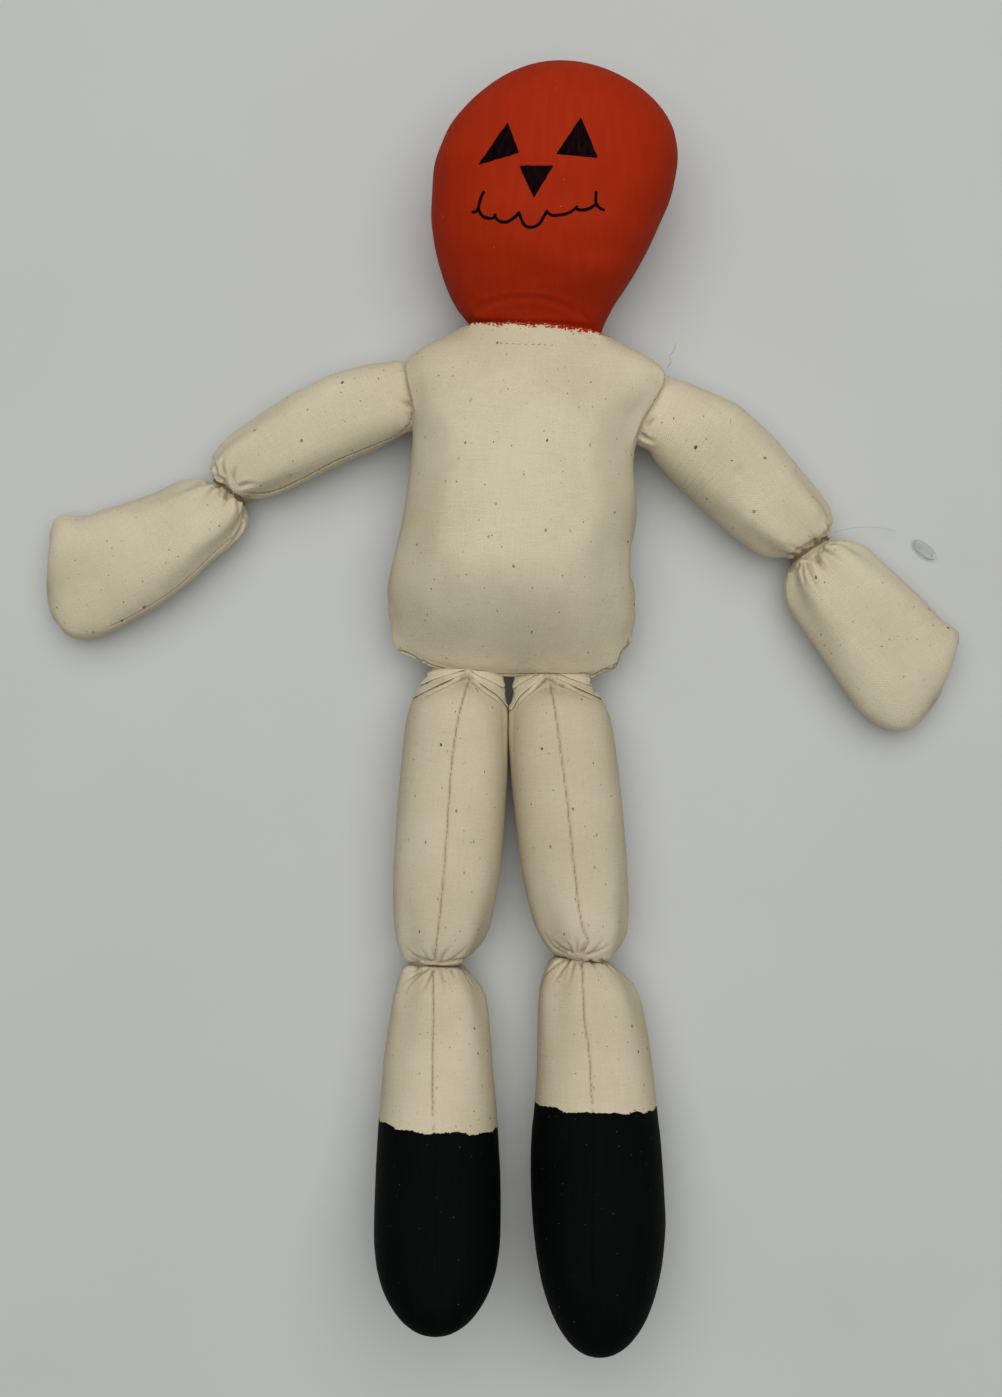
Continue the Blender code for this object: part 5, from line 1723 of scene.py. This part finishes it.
RIGHT_LEG_FOLDS = (
    *creases(1.0, 0.8, 0.9, ((468, 675.5), (453, 683), (441, 688.5), (428, 695), (416, 700.5)),
             ((467, 675.5), (475, 684), (485, 692), (496, 699.5), (504, 709))),
    *creases(0.85, 0.75, 0.7, ((434, 962), (424, 959), (412, 953)), ((435, 962), (434, 953), (431, 943)),
             ((438, 963), (452, 961), (470, 957), (488, 949))),
    *creases(0.6, 0.7, 0.5, ((431, 963), (425, 955), (419, 946)), ((429, 963), (415, 956), (400, 942)),
             ((440, 962), (446, 952), (455, 943)), ((444, 963), (458, 955), (470, 944))),
    *creases(0.85, 0.75, 0.7, ((434, 968), (428, 980), (420, 996)), ((430, 968), (415, 975), (400, 986)),
             ((461, 969), (468, 979), (475, 993))),
    *creases(0.6, 0.7, 0.5, ((452, 969), (455, 979)), ((465, 969), (473, 976), (482, 987)),
             ((441, 969), (444, 983), (445, 996)), ((427, 969), (410, 984), (402, 1000))),
)
LEFT_LEG_FOLDS = (
    *creases(1.0, 0.8, 0.9, ((548, 677), (540, 684), (531, 692), (522, 700), (514, 713)),
             ((548, 677), (558, 683), (569, 688.5), (584, 695.5), (600, 702))),
    *creases(0.85, 0.75, 0.7, ((580, 954), (583, 948), (588, 939)), ((574, 953), (562, 948), (545, 934)),
             ((586, 955), (598, 951), (612, 944))),
    *creases(0.6, 0.7, 0.5, ((572, 953), (569, 946), (562, 938)), ((568, 954), (553, 946), (540, 925)),
             ((590, 954), (600, 944), (606, 934)), ((577, 953), (577, 945), (574, 934))),
    *creases(0.85, 0.75, 0.7, ((571, 959), (562, 970), (551, 987)), ((580, 959), (583, 972), (584, 986)),
             ((600, 959), (610, 968), (621, 980))),
    *creases(0.6, 0.7, 0.5, ((565, 959), (554, 966), (543, 977)), ((590, 959), (597, 970), (601, 984)),
             ((575, 959), (571, 974), (568, 990)), ((606, 959), (620, 965), (630, 974))),
)
RIGHT_ARM_FOLDS = (
    seam(*RIGHT_FOREARM_SEAM, depth=0.22, width=0.5, soil_and_shade=0.22),
    *creases(1.0, 1.0, 0.5, ((413, 407), (404, 402), (396, 396))),
    *creases(0.9, 0.9, 0.5, ((217, 473), (214, 462), (217, 451)), ((224, 475), (222, 463), (226, 452)),
             ((232, 480), (234, 470), (240, 463)), ((238, 487), (248, 484), (262, 485))),
    *creases(1.0, 1.0, 0.55, ((213, 478), (202, 480), (186, 489)), ((221, 483), (212, 490), (202, 502)),
             ((229, 490), (226, 500), (219, 513)), ((236, 496), (239, 507), (236, 521))),
)
LEFT_ARM_FOLDS = (
    *creases(1.0, 1.0, 0.5, ((641, 434), (649, 440), (658, 441)), ((646, 426), (652, 420), (657, 414))),
    Fold(((733, 468), (740, 472), (747, 477)), 0.5, 3.0, 0.0, 0.2, 0.4, 0.4),
    *creases(0.9, 0.9, 0.5, ((829, 536), (829, 527), (823, 516)), ((818, 545), (813, 536), (805, 526)),
             ((806, 552), (797, 549), (785, 541)), ((797, 557), (786, 553), (772, 550))),
    *creases(1.1, 1.0, 0.6, ((807, 561), (812, 575), (822, 597)), ((814, 555), (821, 565), (831, 577)),
             ((799, 563), (797, 572), (798, 586))),
    *creases(0.8, 0.8, 0.5, ((822, 549), (834, 555), (848, 565)), ((829, 543), (843, 545), (860, 551)),
             ((803, 562), (803, 577), (808, 592)), ((832, 539), (845, 538), (862, 543))),
)


@dataclass(frozen=True)
class Tie:
    """Where a limb is tied: its wrap's node, and the headings of the cloth on either side."""

    node: str
    wrap_heading: float
    towards_body: float
    away: float
    count: int = 14
    reach_body: float = 13.0
    reach_away: float = 13.0
    seed: int = 1


class TiedLimb(ClothPiece):
    """A limb with a thread drawn tight round its joint."""

    tie: Tie
    frame: dict

    def tie_heading(self) -> float:
        """The way that the limb runs through its tie, in degrees."""
        return self.tie.wrap_heading

    def gathers(self) -> list[Gathers]:
        """Gathers on both sides of the thread."""
        tie = self.tie
        wrap = ThreadWrap(tie.node, tie.wrap_heading)
        centre, _, half_width, half_height = wrap.measure(self.frame)
        return [
            Gathers(centre, heading, half_width, half_height, tie.count, reach * MM, 0.9 * MM, 1.6, seed)
            for heading, reach, seed in (
                (tie.towards_body, tie.reach_body, tie.seed),
                (tie.away, tie.reach_away, tie.seed + 50),
            )
        ]


def main() -> None:
    """Build the doll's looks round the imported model."""
    noise.seed_set(NOISE_SEED)
    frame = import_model()
    VIEW.make()
    Studio().build()
    calico = Calico().make()
    # Darker copies of the calico for the limbs: painted shade for the light that the limbs lose.
    shaded_sleeve_calico = Calico("unbleached_calico_arms_shaded", "d7cdb2", "c3b89a").make()
    shaded_leg_calico = Calico("unbleached_calico_legs_shaded", "d3c8ae", "bfb497")
    orange, neckline = (
        PaintedCloth(
            name, "a02608", "a82f0c", (534, 325), 40 * MM, 85.6, 2.5 * MM, 6.5 * MM, 0.7, "b98068", 0.1
        ).make()
        for name in ("orange_craft_acrylic", "calico_with_orange_neckline")
    )
    boots = {
        side: PaintedCloth(
            "black_craft_acrylic_" + side, "020303", "060809", edge, 25 * MM, heading, 4.0 * MM,
            1.2 * MM, 0.75, "4b5153", 0.35, shaded_leg_calico,
        ).make()
        for side, edge, heading in (("right", (440, 1123), -93.8), ("left", (592, 1104), -91.6))
    }
    thread = CottonThread().make()
    neck = shared_seam(frame, ("head", "torso"), *NECK_SEAM)
    head = ClothPiece(
        "head", "painted_head", Slot.ORANGE, orange, HEAD_SPINE, 24, 36, 1.4, 3,
        sewn_to=("torso",), smoothing=30, growth=0.02, settling=20, crests=((neck, 7.0, 0.95),),
        levelling=HEAD_LEVELLING,
        folds=(
            Fold(((469, 320), (482, 307), (502, 300), (526.5, 298), (547, 300), (569, 308), (588, 319)),
                 0.3, 1.3, 0.08, 0.5, 0.2, 0.2),
            *creases(0.5, 0.8, 0.5, ((468, 322), (474, 314), (482, 308)),
                     ((590, 321), (583, 314), (574, 309))),
        ),
        side_seams=(1.0, -1.0),
    ).build(frame)
    Face().build(head, MarkerInk().make())
    armholes = {arm: shared_seam(frame, ("torso", arm), *line) for arm, line in ARMHOLES.items()}
    hem, sides = edge_path(TORSO_HEM), (edge_path(TORSO_LEFT_EDGE), edge_path(TORSO_RIGHT_EDGE))
    hem_row = tuple((x, y - HEM_STITCH_RISE) for x, y, _ in TORSO_HEM)
    torso = ClothPiece(
        "torso", "calico_torso", Slot.CALICO, neckline, TORSO_SPINE, 24, 38, 1.5, 5,
        tucked=False, smoothing=60, growth=0.02, settling=10,
        sewn_to=("head", "arm_left", "arm_right", "leg_left", "leg_right"),
        tapers=((hem, 40.0, 0.5), *((side, 16.0, 0.72) for side in sides)),
        crests=((hem, 3.5, 0.95), *((side, 8.0, 0.95) for side in sides), (neck, 7.0, 0.95),
                *((armhole, 7.0, 0.95) for armhole in armholes.values())),
        # The hem row's dark line is painted shade under the turned hem, with some dirt.
        seams=(seam(*hem_row, depth=0.3, width=0.5, soil_and_shade=0.95),
               *(seam(*line, depth=0.5, width=0.6, soil_and_shade=0.7) for line in ARMHOLES.values())),
    ).build(frame)
    tree = torso.tree()
    Stitches("neck_stitches", (TORSO_NECK_STITCHES,), 2.2, 1.5, 0.12, seed=21).build(tree, thread)
    Stitches("hem_stitches", (hem_row,), 2.2, 1.3, 0.12, seed=22).build(tree, thread)
    LooseThread().build(thread)
    limbs = (
        ("arm_right", shaded_sleeve_calico, ARM_RIGHT_SPINE, 13, 17, 1.15, RIGHT_ARM_FOLDS,
         (RIGHT_ARM_SEAM,), (),
         Tie("elbow_wrap_right", -126.7, 29.7, -155.2, 18, 9, 12, 11)),
        ("arm_left", shaded_sleeve_calico, ARM_LEFT_SPINE, 13, 17, 1.15, LEFT_ARM_FOLDS, (), (),
         Tie("elbow_wrap_left", -55.8, 138.4, -49.0, 18, 10, 15, 12)),
        ("leg_right", boots["right"], LEG_RIGHT_SPINE, 24, 22, 1.5, RIGHT_LEG_FOLDS,
         (RIGHT_THIGH_SEAM, RIGHT_SHIN_SEAM), (RIGHT_BOOT_SEAM,),
         Tie("knee_wrap_right", -92.8, 83.6, -89.3, 24, 13, 13, 13)),
        ("leg_left", boots["left"], LEG_LEFT_SPINE, 24, 22, 1.5, LEFT_LEG_FOLDS,
         (LEFT_THIGH_SEAM, LEFT_SHIN_SEAM), (LEFT_BOOT_SEAM,),
         Tie("knee_wrap_left", -97.1, 96.7, -87.7, 24, 13, 13, 14)),
    )
    pleat_cloth = shaded_leg_calico.make()
    pleats = {"leg_right": RIGHT_PLEAT, "leg_left": LEFT_PLEAT}
    legs_too = ("leg_left", "leg_right")
    for node, finish, spine, height, radius, voxel, folds, sewn, painted_seams, tie in limbs:
        limb = TiedLimb(
            node, "calico_" + node, Slot.CALICO, finish, spine, height, radius, voxel, tie.seed,
            rounding=60 if node in legs_too else 30, folds=folds,
            seams=tuple(seam(*line) for line in (*sewn, *painted_seams)),
            sewn_to=("torso",), crests=(
                *(((armholes[node], 6.0, 0.95),) if node in armholes else ()),
                *((edge_path(tuple((x, y, HAND_EDGE_HEIGHT) for x, y in line)), 5.0, 0.85)
                  for line in ARM_EDGES.get(node, ())),
            ),
            beside=tuple(other for other in legs_too if node in legs_too and other != node),
        )
        limb.tie, limb.frame = tie, frame
        skin = limb.build(frame)
        if node in pleats:
            Pleat("hip_pleats_" + node[4:], pleats[node]).build(skin, pleat_cloth)
        if sewn:
            Stitches(node + "_stitches", sewn, seed=tie.seed).build(skin.tree(), thread)
        ThreadWrap(tie.node, tie.wrap_heading, seed=tie.seed).build(frame, thread)
    TagPin().build(frame, ClearPlastic().make())
    for piece in bpy.context.scene.objects:
        if piece.type == "MESH":
            LOG.info("%s: %d faces", piece.name, len(piece.data.polygons))


if __name__ == "__main__":
    logging.basicConfig(level=logging.INFO, format="%(name)s %(message)s")
    main()
